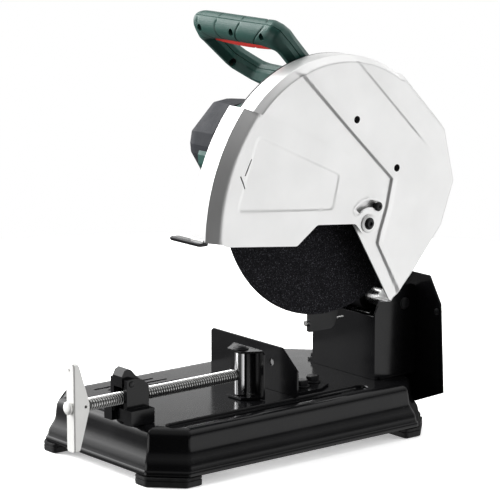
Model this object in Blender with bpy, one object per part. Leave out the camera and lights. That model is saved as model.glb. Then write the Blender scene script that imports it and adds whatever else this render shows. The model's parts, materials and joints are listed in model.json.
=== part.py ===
"""Abrasive chop saw with a 355 mm wheel: pressed steel base, screw vise, swivelling fence and swinging head.

Sizes are in millimetres and are turned into metres as each mesh is made. In the drawing frame X runs
across the machine, Y runs from the operator to the back, Z is up, and Y = 0 is the face of the fence.
FRAME_Y moves that drawing frame so that the origin lies under the middle of the whole machine.
"""

import math

import bmesh
import bpy
from mathutils import Matrix, Vector

MM = 0.001
GAP = 0.3
FRAME_Y = 50.75

# Base: a pressed steel pan on four rubber feet.
BASE_HALF_X = 158.4
BASE_FRONT, BASE_REAR = -275.0, 220.0
BASE_CORNER = 42.0
BASE_FLOOR, TABLE = 14.0, 76.0
SHEET = 2.5
SKIRT = ((14.0, 0.0), (22.0, 0.0), (36.0, 4.0), (46.0, 9.0), (66.0, 12.0), (73.0, 14.0), (76.0, 17.5))
CHANNEL_X, CHANNEL_Y, CHANNEL_FLOOR = (102.0, 127.0), (-236.0, 115.0), 71.0
SLOT_X, SLOT_Y = (108.0, 121.0), (-150.0, 75.0)

# Wheel and spindle, in the raised rest position of the head.
WHEEL_R, WHEEL_T = 177.5, 3.0
WHEEL_X = 114.0
SPINDLE = (38.0, 370.0)
MOTOR = (58.0, 400.0)
GEAR_TEETH, PINION_TEETH = 42, 11
GEAR_RATIO = GEAR_TEETH / PINION_TEETH

# Pivots, as (y, z) of axes that run along X.
HEAD_PIVOT = (201.0, 181.0)
GUARD_PIVOT = (86.0, 319.0)
GUARD_STOP = (103.0, 341.0)

# Guard outline: an arc about its own centre, then straight runs down the back to a tail.
GUARD_CENTRE = (40.0, 357.0)
GUARD_R = 198.0
GUARD_ARC = (157.0, 56.0)
GUARD_BACK = ((160.0, 519.0), (238.0, 439.0), (258.0, 360.0), (234.0, 296.0), (182.0, 236.0), (144.0, 198.0))
GUARD_LOWER = ((132.0, 203.0), (72.0, 306.0), (-20.0, 330.0))
GUARD_X = (106.0, 136.0, 149.0)
GUARD_BEVEL = 11.0
GUARD_SCREWS = ((68.0, 465.0), (142.0, 390.0))
FRONT_GUARD_R = 275.0
FRONT_GUARD_BEVEL = 15.0
FRONT_GUARD_ARC = (179.0, 139.4)
FRONT_GUARD_X = (106.0, 139.5, 151.7)

# Vise.
VISE_X, VISE_Z = 55.0, 109.5
SCREW_R = 8.8
JAW_PIN_Y = -63.0
LEVER_PIVOT = (-265.0, 131.0)
FENCE_PIVOT = (70.0, 35.0)
FENCE_CLAMP = (60.0, 63.0)
FENCE_BOLTS = (FENCE_PIVOT, FENCE_CLAMP)

LOCK_PIN = (203.0, 152.0)
STOP_AT = (56.5, 165.0)
LOCK_BUTTON = (83.0, 366.0)

# D handle: the middle of its grip, the way its arms run and the way its screw side faces.
GRIP = Vector((0.0, -25.0, 584.0))
ARM_WAY = Vector((0.0, 0.700, -0.714)).normalized()
FACE_WAY = Vector((0.0, -0.714, -0.700)).normalized()
HANDLE_HALF = 19.0

for old in list(bpy.data.objects):
    bpy.data.objects.remove(old)


# ------------------------------------------------------------------ materials

def paint(name, colour, roughness, metallic=0.0):
    material = bpy.data.materials.new(name)
    material.use_nodes = True
    shader = material.node_tree.nodes["Principled BSDF"]
    shader.inputs["Base Color"].default_value = (*colour, 1.0)
    shader.inputs["Roughness"].default_value = roughness
    shader.inputs["Metallic"].default_value = metallic
    return material


GLOSS_BLACK = paint("gloss_black_paint", (0.012, 0.012, 0.014), 0.2)
GUARD_WHITE = paint("white_powder_coat", (0.80, 0.79, 0.78), 0.35)
GREEN = paint("green_plastic", (0.015, 0.09, 0.07), 0.45)
DARK = paint("black_plastic", (0.02, 0.02, 0.022), 0.5)
RED = paint("red_plastic", (0.55, 0.03, 0.02), 0.4)
RUBBER = paint("rubber", (0.012, 0.012, 0.012), 0.8)
ZINC = paint("zinc_steel", (0.75, 0.75, 0.74), 0.25, 1.0)
BLACK_STEEL = paint("black_steel", (0.03, 0.03, 0.03), 0.4, 0.6)
ALUMINIUM = paint("cast_aluminium", (0.55, 0.56, 0.57), 0.45, 1.0)
ABRASIVE = paint("abrasive", (0.02, 0.02, 0.022), 0.9)
COPPER = paint("copper_winding", (0.55, 0.22, 0.08), 0.4, 1.0)
HANDLE_STEEL = paint("pale_coated_steel", (0.78, 0.78, 0.77), 0.35)


# ------------------------------------------------------------------ mesh making

def add_object(name, points, faces, material, origin=(0.0, 0.0, 0.0), sharp=35.0):
    """One named object. points and origin are in drawing millimetres."""
    start = Vector(origin)
    mesh = bpy.data.meshes.new(name)
    mesh.from_pydata([(Vector(p) - start) * MM for p in points], [], faces)
    tidy = bmesh.new()
    tidy.from_mesh(mesh)
    bmesh.ops.recalc_face_normals(tidy, faces=tidy.faces)
    tidy.to_mesh(mesh)
    tidy.free()
    mesh.shade_smooth()
    mesh.set_sharp_from_angle(angle=math.radians(sharp))
    made = bpy.data.objects.new(name, mesh)
    made.location = (start + Vector((0.0, FRAME_Y, 0.0))) * MM
    made.data.materials.append(material)
    bpy.context.scene.collection.objects.link(made)
    return made


def joined(*shapes):
    """Puts (points, faces) shapes into one list, as a cutter may hold several."""
    points, faces = [], []
    for some_points, some_faces in shapes:
        first = len(points)
        points += list(some_points)
        faces += [tuple(first + i for i in face) for face in some_faces]
    return points, faces


def loft(rings):
    """A capped solid through rings that have the same number of points."""
    count = len(rings[0])
    points = [point for ring in rings for point in ring]
    faces = [tuple(range(count)), tuple(range(len(points) - count, len(points)))]
    for level in range(len(rings) - 1):
        a, b = level * count, (level + 1) * count
        faces += [(a + i, a + (i + 1) % count, b + (i + 1) % count, b + i) for i in range(count)]
    return points, faces


def across(outline, x0, x1):
    """Extrudes a (y, z) outline along X."""
    return loft([[(x, y, z) for y, z in outline] for x in (x0, x1)])


def along(outline, y0, y1):
    """Extrudes an (x, z) outline along Y."""
    return loft([[(x, y, z) for x, z in outline] for y in (y0, y1)])


def upward(outline, z0, z1):
    """Extrudes an (x, y) outline along Z."""
    return loft([[(x, y, z) for x, y in outline] for z in (z0, z1)])


def block(low, high):
    corners = [(low[0], low[1]), (high[0], low[1]), (high[0], high[1]), (low[0], high[1])]
    return upward(corners, low[2], high[2])


def arc(centre, radius, start, end, steps):
    """Points on an arc, with angles in degrees from the first axis towards the second."""
    angles = [math.radians(start + (end - start) * i / steps) for i in range(steps + 1)]
    return [(centre[0] + radius * math.cos(a), centre[1] + radius * math.sin(a)) for a in angles]


def circle(centre, radius, steps=24):
    return arc(centre, radius, 0.0, 360.0 * (steps - 1) / steps, steps - 1)


def turned(profile, centre, axis="X", steps=32, bored=False):
    """Turns (distance along the axis, radius) points. A bored profile closes on itself, and a solid one
    starts and ends on the axis."""
    first, second = {"X": (1, 2), "Y": (0, 2), "Z": (0, 1)}[axis]
    main = 3 - first - second
    points, rings = [], []
    for place, radius in profile:
        count = steps if radius > 1e-6 else 1
        ring = []
        for i in range(count):
            turn = 2.0 * math.pi * i / steps
            point = [0.0, 0.0, 0.0]
            point[main] = place
            point[first] = centre[0] + radius * math.cos(turn)
            point[second] = centre[1] + radius * math.sin(turn)
            ring.append(len(points))
            points.append(tuple(point))
        rings.append(ring)
    pairs = list(zip(rings, rings[1:]))
    if bored:
        pairs.append((rings[-1], rings[0]))
    faces = []
    for a, b in pairs:
        for i in range(steps):
            j = (i + 1) % steps
            corners = [a[i % len(a)], a[j % len(a)], b[j % len(b)], b[i % len(b)]]
            faces.append(tuple(dict.fromkeys(corners)))
    return points, faces


def tube(x0, x1, inner, outer, centre, axis="X", steps=32):
    return turned([(x0, inner), (x1, inner), (x1, outer), (x0, outer)], centre, axis, steps, bored=True)


def rod(x0, x1, radius, centre, axis="X", steps=24):
    return turned([(x0, 0.0), (x0, radius), (x1, radius), (x1, 0.0)], centre, axis, steps)


def hex_bolt(x0, x1, x2, flat, shank, centre, axis="X"):
    """A hexagon head from x0 to x1 on a shank that ends at x2, as one turned and faceted body."""
    head_r = flat / math.cos(math.pi / 6)
    first, second = {"X": (1, 2), "Y": (0, 2), "Z": (0, 1)}[axis]
    main = 3 - first - second
    rings = []
    for place, radius in ((x0, head_r), (x1, head_r), (x1, shank), (x2, shank)):
        ring = []
        for i in range(12):
            turn = 2.0 * math.pi * i / 12
            reach = radius if radius == shank else radius * math.cos(math.pi / 6) ** (i % 2)
            point = [0.0, 0.0, 0.0]
            point[main] = place
            point[first] = centre[0] + reach * math.cos(turn)
            point[second] = centre[1] + reach * math.sin(turn)
            ring.append(tuple(point))
        rings.append(ring)
    return loft(rings)


def combine(target, shape, operation="DIFFERENCE", solver="EXACT"):
    """Cuts a shape from an object, or joins it on, with a Boolean modifier and a hidden helper."""
    helper = add_object(target.name + "_helper", *shape, GLOSS_BLACK)
    helper.hide_render = True
    helper.display_type = "WIRE"
    change = target.modifiers.new(operation.lower(), "BOOLEAN")
    change.operation = operation
    change.solver = solver
    change.object = helper
    return target


def gear_outline(centre, teeth, pitch_r, module, phase):
    """A spur gear with straight-sided teeth, thinned so that the pair runs with clear backlash."""
    outline = []
    for tooth in range(teeth):
        middle = phase + 2.0 * math.pi * tooth / teeth
        step = 2.0 * math.pi / teeth
        for turn, radius in ((-0.27, -1.15), (-0.11, 0.85), (0.11, 0.85), (0.27, -1.15)):
            reach = pitch_r + radius * module
            angle = middle + turn * step
            outline.append((centre[0] + reach * math.cos(angle), centre[1] + reach * math.sin(angle)))
    return outline


# ------------------------------------------------------------------ base

def base_ring(inset, z, grow=0.0):
    """The chamfered rectangle of the base at one height."""
    x = BASE_HALF_X - inset + grow
    front, rear = BASE_FRONT + inset - grow, BASE_REAR - inset + grow
    cut = BASE_CORNER - inset * 0.25
    corners = [
        (x, front + cut), (x, rear - cut), (x - cut, rear), (cut - x, rear),
        (-x, rear - cut), (-x, front + cut), (cut - x, front), (x - cut, front),
    ]
    return [(a, b, z) for a, b in corners]


def round_ended(x_span, y_span):
    """A slot outline along Y with half-round ends."""
    half = 0.5 * (x_span[1] - x_span[0])
    middle = x_span[0] + half
    rear = arc((middle, y_span[1] - half), half, 0.0, 180.0, 8)
    return rear + arc((middle, y_span[0] + half), half, 180.0, 360.0, 8)


def make_base():
    shell = add_object("base_shell", *loft([base_ring(inset, z) for z, inset in SKIRT]), GLOSS_BLACK)
    inside = [base_ring(inset + SHEET, z) for z, inset in SKIRT[1:-1]]
    inside[0] = base_ring(SHEET, BASE_FLOOR + SHEET)
    inside[-1] = base_ring(14.0 + SHEET, TABLE - SHEET)
    combine(shell, loft(inside))
    combine(shell, loft([base_ring(15.0, BASE_FLOOR - 5.0), base_ring(15.0, BASE_FLOOR + 5.0)]))
    wider = [(CHANNEL_X[0] - SHEET, CHANNEL_X[1] + SHEET), (CHANNEL_Y[0] - SHEET, CHANNEL_Y[1] + SHEET)]
    combine(shell, upward(round_ended(*wider), CHANNEL_FLOOR - SHEET, TABLE - 1.0), "UNION")
    combine(shell, upward(round_ended(CHANNEL_X, CHANNEL_Y), CHANNEL_FLOOR, TABLE + 5.0))
    combine(shell, upward(round_ended(SLOT_X, SLOT_Y), CHANNEL_FLOOR - 10.0, TABLE))
    holes = [upward(circle((x, y), 5.4, 16), TABLE - 8.0, TABLE + 4.0) for x, y in FENCE_BOLTS]
    combine(shell, joined(*holes))
    names = ("foot_front_right", "foot_front_left", "foot_rear_right", "foot_rear_left")
    for name, (sx, end) in zip(names, ((1, BASE_FRONT), (-1, BASE_FRONT), (1, BASE_REAR), (-1, BASE_REAR))):
        sy = 1 if end == BASE_FRONT else -1
        pad = [(92.0, -2.0), (118.0, -2.0), (158.2, 38.0), (158.2, 66.0), (92.0, 66.0)]
        outline = [(sx * x, end + sy * y) for x, y in pad]
        shape = loft([[(x, y, z) for x, y in outline] for z in (0.0, BASE_FLOOR - GAP)])
        add_object(name, *shape, RUBBER)


# ------------------------------------------------------------------ fence

def make_fence():
    face = [(-88.0, TABLE + GAP), (105.0, TABLE + GAP), (105.0, 113.0), (71.0, 141.0), (-84.0, 141.0), (-88.0, 137.0)]
    fence = add_object("fence", *along(face, -3.0, 0.0), GLOSS_BLACK, (*FENCE_PIVOT, TABLE))
    foot = [(-20.0, -1.5), (95.0, -1.5), (95.0, 50.0), (80.0, 76.0), (-4.0, 76.0), (-20.0, 60.0)]
    combine(fence, upward(foot, TABLE + GAP, TABLE + GAP + 3.0), "UNION")
    combine(fence, upward(circle(FENCE_PIVOT, 5.4, 16), TABLE - 2.0, TABLE + 8.0))
    radius = math.dist(FENCE_PIVOT, FENCE_CLAMP)
    first = math.degrees(math.atan2(FENCE_CLAMP[1] - FENCE_PIVOT[1], FENCE_CLAMP[0] - FENCE_PIVOT[0]))
    outer = arc(FENCE_PIVOT, radius + 5.4, first - 11.0, first + 56.0, 14)
    inner = arc(FENCE_PIVOT, radius - 5.4, first + 56.0, first - 11.0, 14)
    combine(fence, upward(outer + inner, TABLE - 2.0, TABLE + 8.0))
    combine(fence, along(circle((49.0, 116.0), 5.0, 16), -10.0, 6.0))
    for name, place in zip(("fence_pivot_bolt", "fence_clamp_bolt"), FENCE_BOLTS):
        top = TABLE + GAP + 3.0 + GAP
        profile = hex_bolt(top + 9.0, top + 2.2, TABLE - 12.0, 8.5, 5.0, place, "Z")
        bolt = add_object(name, *profile, BLACK_STEEL)
        combine(bolt, turned([(top, 0.0), (top, 10.5), (top + 2.4, 10.5), (top + 2.4, 0.0)], place, "Z", 24), "UNION")


# ------------------------------------------------------------------ vise

def make_vise():
    x, z = VISE_X, VISE_Z
    front, rear = -268.0, -236.0
    body = add_object("vise_body", *block((x - 20.0, front, TABLE + GAP), (x + 20.0, rear, 94.0)), BLACK_STEEL)
    for side in (-1, 1):
        foot = sorted((x + side * 31.0, x + side * 13.5))
        combine(body, block((foot[0], front - 7.0, TABLE + GAP), (foot[1], rear, 97.0)), "UNION")
        cheek = [
            (front - 5.0, 90.0), (rear, 90.0), (rear, 126.0), (rear - 9.0, 134.0), (rear - 24.0, 138.0),
            (front - 5.0, 137.0),
        ]
        combine(body, across(cheek, x + side * 11.0, x + side * 18.5), "UNION")
    combine(body, across(circle(LEVER_PIVOT, 4.1, 16), x - 25.0, x + 25.0))
    lever = [
        (-275.0, 126.0), (-275.0, 141.0), (-271.0, 148.5), (-265.0, 151.0), (-259.0, 148.0), (-251.0, 139.0),
        (-242.0, 132.0), (-242.0, 112.0), (-257.0, 112.0), (-259.0, 122.0),
    ]
    half_nut = add_object("half_nut_lever", *across(lever, x - 10.4, x + 10.4), BLACK_STEEL, (x, *LEVER_PIVOT))
    combine(half_nut, along(circle((x, z), SCREW_R + 0.5, 32), -290.0, -220.0))
    combine(half_nut, across(circle(LEVER_PIVOT, 4.1, 16), x - 25.0, x + 25.0))
    pin = [(x - 21.0, 0.0), (x - 21.0, 6.0), (x - 18.8, 6.0), (x - 18.8, 3.8), (x + 19.5, 3.8), (x + 19.5, 0.0)]
    add_object("half_nut_pin", *turned(pin, LEVER_PIVOT, "X", 16), BLACK_STEEL)

    tip = JAW_PIN_Y - 8.8
    web, depth, middle = 9.3, 8.5, 25.0
    front = -352.5
    profile = [(front + 10.0, 0.0), (front + 10.0, 6.8), (front + 26.5, 6.8), (front + 26.5, SCREW_R),
               (tip - 1.2, SCREW_R), (tip, 7.6), (tip, 0.0)]
    add_object("vise_screw", *turned(profile, (x, z), "Y", 32), ZINC, (x, JAW_PIN_Y, z))
    u_shape = [(x - web, 49.0), (x + web, 49.0), (x + web, 170.0), (x - web, 170.0)]
    handle = add_object("vise_handle", *along(u_shape, front, front + 2.0), HANDLE_STEEL, (x, JAW_PIN_Y, z))
    flange = [
        (front, 49.0), (front + depth, 51.0), (front + middle, 106.0), (front + middle, 113.0),
        (front + depth, 168.0), (front, 170.0),
    ]
    for side in (-1, 1):
        combine(handle, across(flange, x + side * (web - 2.0), x + side * web), "UNION")
    combine(handle, along(circle((x, z), 5.3, 16), front - 5.0, front + 5.0))
    rivet = [(front - 7.0, 0.0), (front - 7.0, 5.0), (front - 4.5, 9.0), (front - GAP, 9.0), (front - GAP, 5.0),
             (front + 9.7, 5.0), (front + 9.7, 0.0)]
    add_object("vise_handle_rivet", *turned(rivet, (x, z), "Y", 24), ZINC, (x, JAW_PIN_Y, z))

    pin_at = (x, JAW_PIN_Y)
    swivel = [(80.6, 0.0), (80.6, 8.5), (142.4, 8.5), (142.4, 0.0)]
    add_object("jaw_pin", *turned(swivel, pin_at, "Z", 32), ZINC)
    face = [(16.0, 77.0), (89.0, 77.0), (89.0, 141.0), (84.0, 146.0), (21.0, 146.0), (16.0, 141.0)]
    jaw = add_object("jaw", *along(face, -50.0, -47.0), GLOSS_BLACK, (*pin_at, z))
    tab = [(21.0, -48.5), (86.0, -48.5), (70.0, -75.0), (40.0, -75.0)]
    for low in (77.2, 142.8):
        combine(jaw, upward(tab, low, low + 3.0), "UNION")
    combine(jaw, upward(circle(pin_at, 4.3, 16), 70.0, 150.0))
    cap = [(146.1, 0.0), (146.1, 11.0), (148.0, 11.0), (148.0, 8.5), (150.5, 6.0), (150.5, 0.0)]
    add_object("jaw_pin_cap", *turned(cap, pin_at, "Z", 24), BLACK_STEEL)


# ------------------------------------------------------------------ pivot bracket

BRACKET_X = (-37.0, 100.0)
BRACKET_Y = (145.0, 223.5)


def make_bracket():
    y0, y1 = BRACKET_Y
    low = TABLE + GAP
    side = [
        (y0, low), (y1, low), (y1, 199.0), (222.0, 205.0), (214.0, 208.0), (190.0, 208.0), (181.0, 201.0),
        (176.0, 187.0), (154.0, 190.0), (y0, 172.0),
    ]
    left, right = BRACKET_X
    bracket = add_object("pivot_bracket", *across(side, right - 3.0, right), GLOSS_BLACK)
    combine(bracket, across(side, left, left + 3.0), "UNION")
    combine(bracket, block((left + 1.0, y0, low), (right - 1.0, y0 + 3.0, 168.0)), "UNION")
    for x0, x1 in ((left - 20.0, left + 1.0), (right - 1.0, right + 2.5)):
        combine(bracket, block((x0, y0 + 8.0, low), (x1, y1 - 20.0, low + 3.0)), "UNION")
    combine(bracket, across(circle(HEAD_PIVOT, 8.3, 24), left - 10.0, right + 10.0))
    combine(bracket, across(circle(LOCK_PIN, 4.4, 16), left - 10.0, left + 10.0))

    plate = [
        (-101.0, 40.0), (100.0, 33.0), (158.0, 56.0), (151.0, 184.0), (127.0, 223.0), (-86.0, 223.0), (-101.0, 205.0),
    ]
    rear = add_object("spark_plate", *along(plate, 224.0, 226.5), GLOSS_BLACK)
    combine(rear, along(circle((144.0, 173.0), 3.6, 16), 215.0, 235.0))

    shaft = [(left - 9.0, 0.0), (left - 9.0, 12.0), (left - GAP, 12.0), (left - GAP, 8.0), (right + 3.0, 8.0),
             (right + 3.0, 0.0)]
    add_object("pivot_shaft", *turned(shaft, HEAD_PIVOT, "X", 32), ZINC)


def make_lock_pin():
    left = BRACKET_X[0]
    knob = [(left - 24.0, 0.0), (left - 24.0, 9.0), (left - 12.0, 9.0), (left - 12.0, 4.0), (24.0, 4.0), (26.0, 2.8),
            (26.0, 0.0)]
    add_object("lock_pin", *turned(knob, LOCK_PIN, "X", 16), ZINC, (left, *LOCK_PIN))


# ------------------------------------------------------------------ head: arm, gear case and motor

HUB_X = (-8.0, 27.0)


def make_arm():
    origin = (0.0, *HEAD_PIVOT)
    arm = add_object("swing_arm", *rod(*HUB_X, 22.0, HEAD_PIVOT, "X", 32), BLACK_STEEL, origin)
    web = [(208.0, 192.0), (168.0, 270.0), (128.0, 338.0), (96.0, 318.0), (150.0, 232.0), (183.0, 176.0)]
    combine(arm, across(web, -6.0, 25.0), "UNION")
    head = [(168.0, 270.0), (140.0, 345.0), (100.0, 320.0), (126.0, 268.0)]
    combine(arm, across(head, -6.0, 96.0), "UNION")
    lug = [(146.0, 285.0), (118.0, 300.0), (58.0, 180.0), (58.0, 152.0), (97.0, 152.0), (103.0, 155.0), (106.0, 161.0)]
    combine(arm, across(lug, STOP_AT[0] - 3.5, STOP_AT[0] + 3.5), "UNION")
    combine(arm, along(circle(STOP_AT, 2.3, 12), 40.0, 130.0))
    add_object("stop_bolt", *hex_bolt(52.5, 57.7, 122.2, 4.0, 2.0, STOP_AT, "Y"), ZINC, origin)
    combine(arm, across(circle(HEAD_PIVOT, 8.3, 24), -20.0, 40.0))
    add_object("pivot_spacer", *tube(28.0, 96.4, 8.6, 12.5, HEAD_PIVOT), ZINC, origin)


def spring_points(x0, x1, coil_r, turns, start, steps):
    for i in range(steps + 1):
        share = i / steps
        turn = start + share * turns * 2.0 * math.pi
        y, z = HEAD_PIVOT[0] + coil_r * math.cos(turn), HEAD_PIVOT[1] + coil_r * math.sin(turn)
        yield (x0 + (x1 - x0) * share, y, z)


def make_return_spring():
    """A torsion spring between the left wing of the bracket and the hub of the arm."""
    middle = [Vector(p) for p in spring_points(-30.5, -11.5, 12.5, 4.0, 0.0, 64)]
    rings = []
    for i, point in enumerate(middle):
        ahead = (middle[min(i + 1, len(middle) - 1)] - middle[max(i - 1, 0)]).normalized()
        out = Vector((0.0, point.y - HEAD_PIVOT[0], point.z - HEAD_PIVOT[1])).normalized()
        side = ahead.cross(out).normalized()
        rings.append([point + 1.6 * (math.cos(a) * out + math.sin(a) * side)
                      for a in (2.0 * math.pi * k / 6 for k in range(6))])
    add_object("return_spring", *loft(rings), BLACK_STEEL)


def case_outline(small, large):
    """The outline of the gear case: two circles about the spindle and the motor, joined by straight sides."""
    ring = arc(SPINDLE, small, 146.0, 326.0, 12) + arc(MOTOR, large, -34.0, 146.0, 16)
    return ring


def make_drive():
    origin = (0.0, *HEAD_PIVOT)
    case = add_object("gear_case", *across(case_outline(40.0, 62.0), 50.5, 102.0), ALUMINIUM, origin)
    combine(case, across(case_outline(34.0, 56.0), 45.0, 84.0))
    combine(case, across(circle(SPINDLE, 16.3, 24), 70.0, 110.0))
    combine(case, along(circle(LOCK_BUTTON, 5.3, 16), -20.0, 18.5))
    cover = add_object("gear_cover", *across(case_outline(33.6, 55.6), 50.8, 57.5), ALUMINIUM, origin)
    combine(cover, across(circle(MOTOR, 16.3, 24), 45.0, 62.0))
    combine(cover, across(circle(SPINDLE, 11.3, 24), 54.0, 62.0))

    housing = [(-78.0, 60.5), (50.2, 60.5), (50.2, 65.0), (-78.0, 65.0)]
    add_object("motor_housing", *turned(housing, MOTOR, "X", 48, bored=True), GREEN, origin)
    sides = 16
    outer = [(-130.0, 0.0), (-130.0, 62.0), (-127.0, 65.0), (-78.3, 65.0)]
    inner = [(-78.3, 61.0), (-126.0, 61.0), (-126.0, 0.0)]
    cap = turned([*outer, *inner], MOTOR, "X", sides)
    add_object("motor_end_cap", *cap, DARK, origin, 20.0)
    add_object("stator", *tube(-45.0, 15.0, 36.0, 57.0, MOTOR, "X", 32), COPPER, origin)
    add_object("rear_bearing", *tube(-112.0, -101.0, 8.3, 18.0, MOTOR, "X", 24), ZINC, origin)
    add_object("front_bearing", *tube(47.0, 57.0, 8.3, 16.0, MOTOR, "X", 24), ZINC, origin)
    add_object("spindle_bearing", *tube(86.0, 101.0, 10.3, 16.0, SPINDLE, "X", 24), ZINC, origin)

    turning = (0.0, *MOTOR)
    rotor = [(-116.0, 0.0), (-116.0, 8.0), (-95.0, 8.0), (-95.0, 18.0), (-62.0, 18.0), (-62.0, 12.0), (-45.0, 12.0),
             (-45.0, 34.0), (15.0, 34.0), (15.0, 8.0), (60.0, 8.0), (60.0, 4.0), (80.0, 4.0), (80.0, 0.0)]
    add_object("motor_rotor", *turned(rotor, MOTOR, "X", 24), COPPER, turning)
    hub = [(22.0, 8.3), (22.0, 52.0), (25.0, 52.0), (27.0, 14.0), (40.0, 14.0), (40.0, 8.3)]
    fan = add_object("cooling_fan", *turned(hub, MOTOR, "X", 24, bored=True), DARK, turning)
    for number in range(8):
        turn = Matrix.Rotation(math.radians(45.0 * number), 3, "X")
        blade_points, blade_faces = block((24.0, 13.0, -1.2), (38.0, 50.0, 1.2))
        centre = Vector((0.0, *MOTOR))
        combine(fan, ([turn @ Vector(p) + centre for p in blade_points], blade_faces), "UNION")

    distance = math.dist(SPINDLE, MOTOR)
    module = 2.0 * distance / (GEAR_TEETH + PINION_TEETH)
    gear_r, pinion_r = 0.5 * GEAR_TEETH * module, 0.5 * PINION_TEETH * module
    line = math.atan2(MOTOR[1] - SPINDLE[1], MOTOR[0] - SPINDLE[0])
    ring = gear_outline(SPINDLE, GEAR_TEETH, gear_r, module, line + math.pi / GEAR_TEETH)
    gear = add_object("ring_gear", *across(ring, 62.0, 76.0), ZINC, (0.0, *SPINDLE))
    combine(gear, across(circle(SPINDLE, 10.3, 24), 55.0, 85.0))
    small = gear_outline(MOTOR, PINION_TEETH, pinion_r, module, line + math.pi)
    pinion = add_object("pinion", *across(small, 61.0, 78.0), ZINC, turning)
    combine(pinion, across(circle(MOTOR, 4.3, 16), 55.0, 85.0))


def make_spindle():
    turning = (0.0, *SPINDLE)
    steps = [(58.5, 0.0), (58.5, 10.0), (103.0, 10.0), (103.0, 12.5), (124.0, 12.5), (124.0, 0.0)]
    add_object("spindle", *turned(steps, SPINDLE, "X", 32), ZINC, turning)
    half = 0.5 * WHEEL_T
    left, right = WHEEL_X - half, WHEEL_X + half
    add_object("inner_flange", *tube(left - 6.0, left - GAP, 12.8, 32.0, SPINDLE), ZINC, turning)
    add_object("outer_flange", *tube(right + GAP, right + 6.0, 12.8, 32.0, SPINDLE), ZINC, turning)
    add_object("cutting_wheel", *tube(left, right, 12.8, WHEEL_R, SPINDLE, "X", 72), ABRASIVE, turning)
    add_object("wheel_bolt", *hex_bolt(132.0, 126.6, 124.3, 8.5, 11.0, SPINDLE), BLACK_STEEL, turning)


# ------------------------------------------------------------------ guards

def inset_outline(outline, centre, amount):
    """Moves each point of an outline towards a centre by a set distance."""
    moved = []
    for y, z in outline:
        away = Vector((y - centre[0], z - centre[1]))
        moved.append((y - away.normalized().x * amount, z - away.normalized().y * amount))
    return moved


def make_fixed_guard():
    origin = (0.0, *HEAD_PIVOT)
    rim = arc(GUARD_CENTRE, GUARD_R, *GUARD_ARC, 22) + list(GUARD_BACK)
    lower = list(GUARD_LOWER)
    full = rim + lower
    face = inset_outline(rim, GUARD_CENTRE, GUARD_BEVEL) + lower
    x0, x1, x2 = GUARD_X
    rings = [[(x, y, z) for y, z in ring] for x, ring in ((x0, full), (x1, full), (x2, face))]
    guard = add_object("fixed_guard", *loft(rings), GUARD_WHITE, origin)
    wall = 2.0
    open_low = [(y - 14.0, z - 24.0) for y, z in lower]
    inner_rim = inset_outline(rim[:-1], GUARD_CENTRE, wall)
    inner_rim.append((rim[-1][0] - 3.0, rim[-1][1] - 2.0))
    hollow = inner_rim + open_low
    hollow_face = inset_outline(rim[:-1], GUARD_CENTRE, GUARD_BEVEL + wall)
    hollow_face.append((rim[-1][0] - 8.0, rim[-1][1] + 1.0))
    hollow_face += open_low
    rings = [(x0 - 5.0, hollow), (x1 - 0.6, hollow), (x2 - wall, hollow_face)]
    combine(guard, loft([[(x, y, z) for y, z in ring] for x, ring in rings]))
    holes = [across(circle(place, radius, 16), 140.0, 155.0) for place, radius in
             ((GUARD_PIVOT, 5.3), (GUARD_STOP, 4.3), (GUARD_SCREWS[0], 4.3), (GUARD_SCREWS[1], 4.3))]
    combine(guard, joined(*holes))

    plate = add_object("guard_back_plate", *across(full, 102.8, x0 - GAP), GUARD_WHITE, origin)
    combine(plate, across(circle(SPINDLE, 34.0, 32), 95.0, 112.0))


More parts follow.
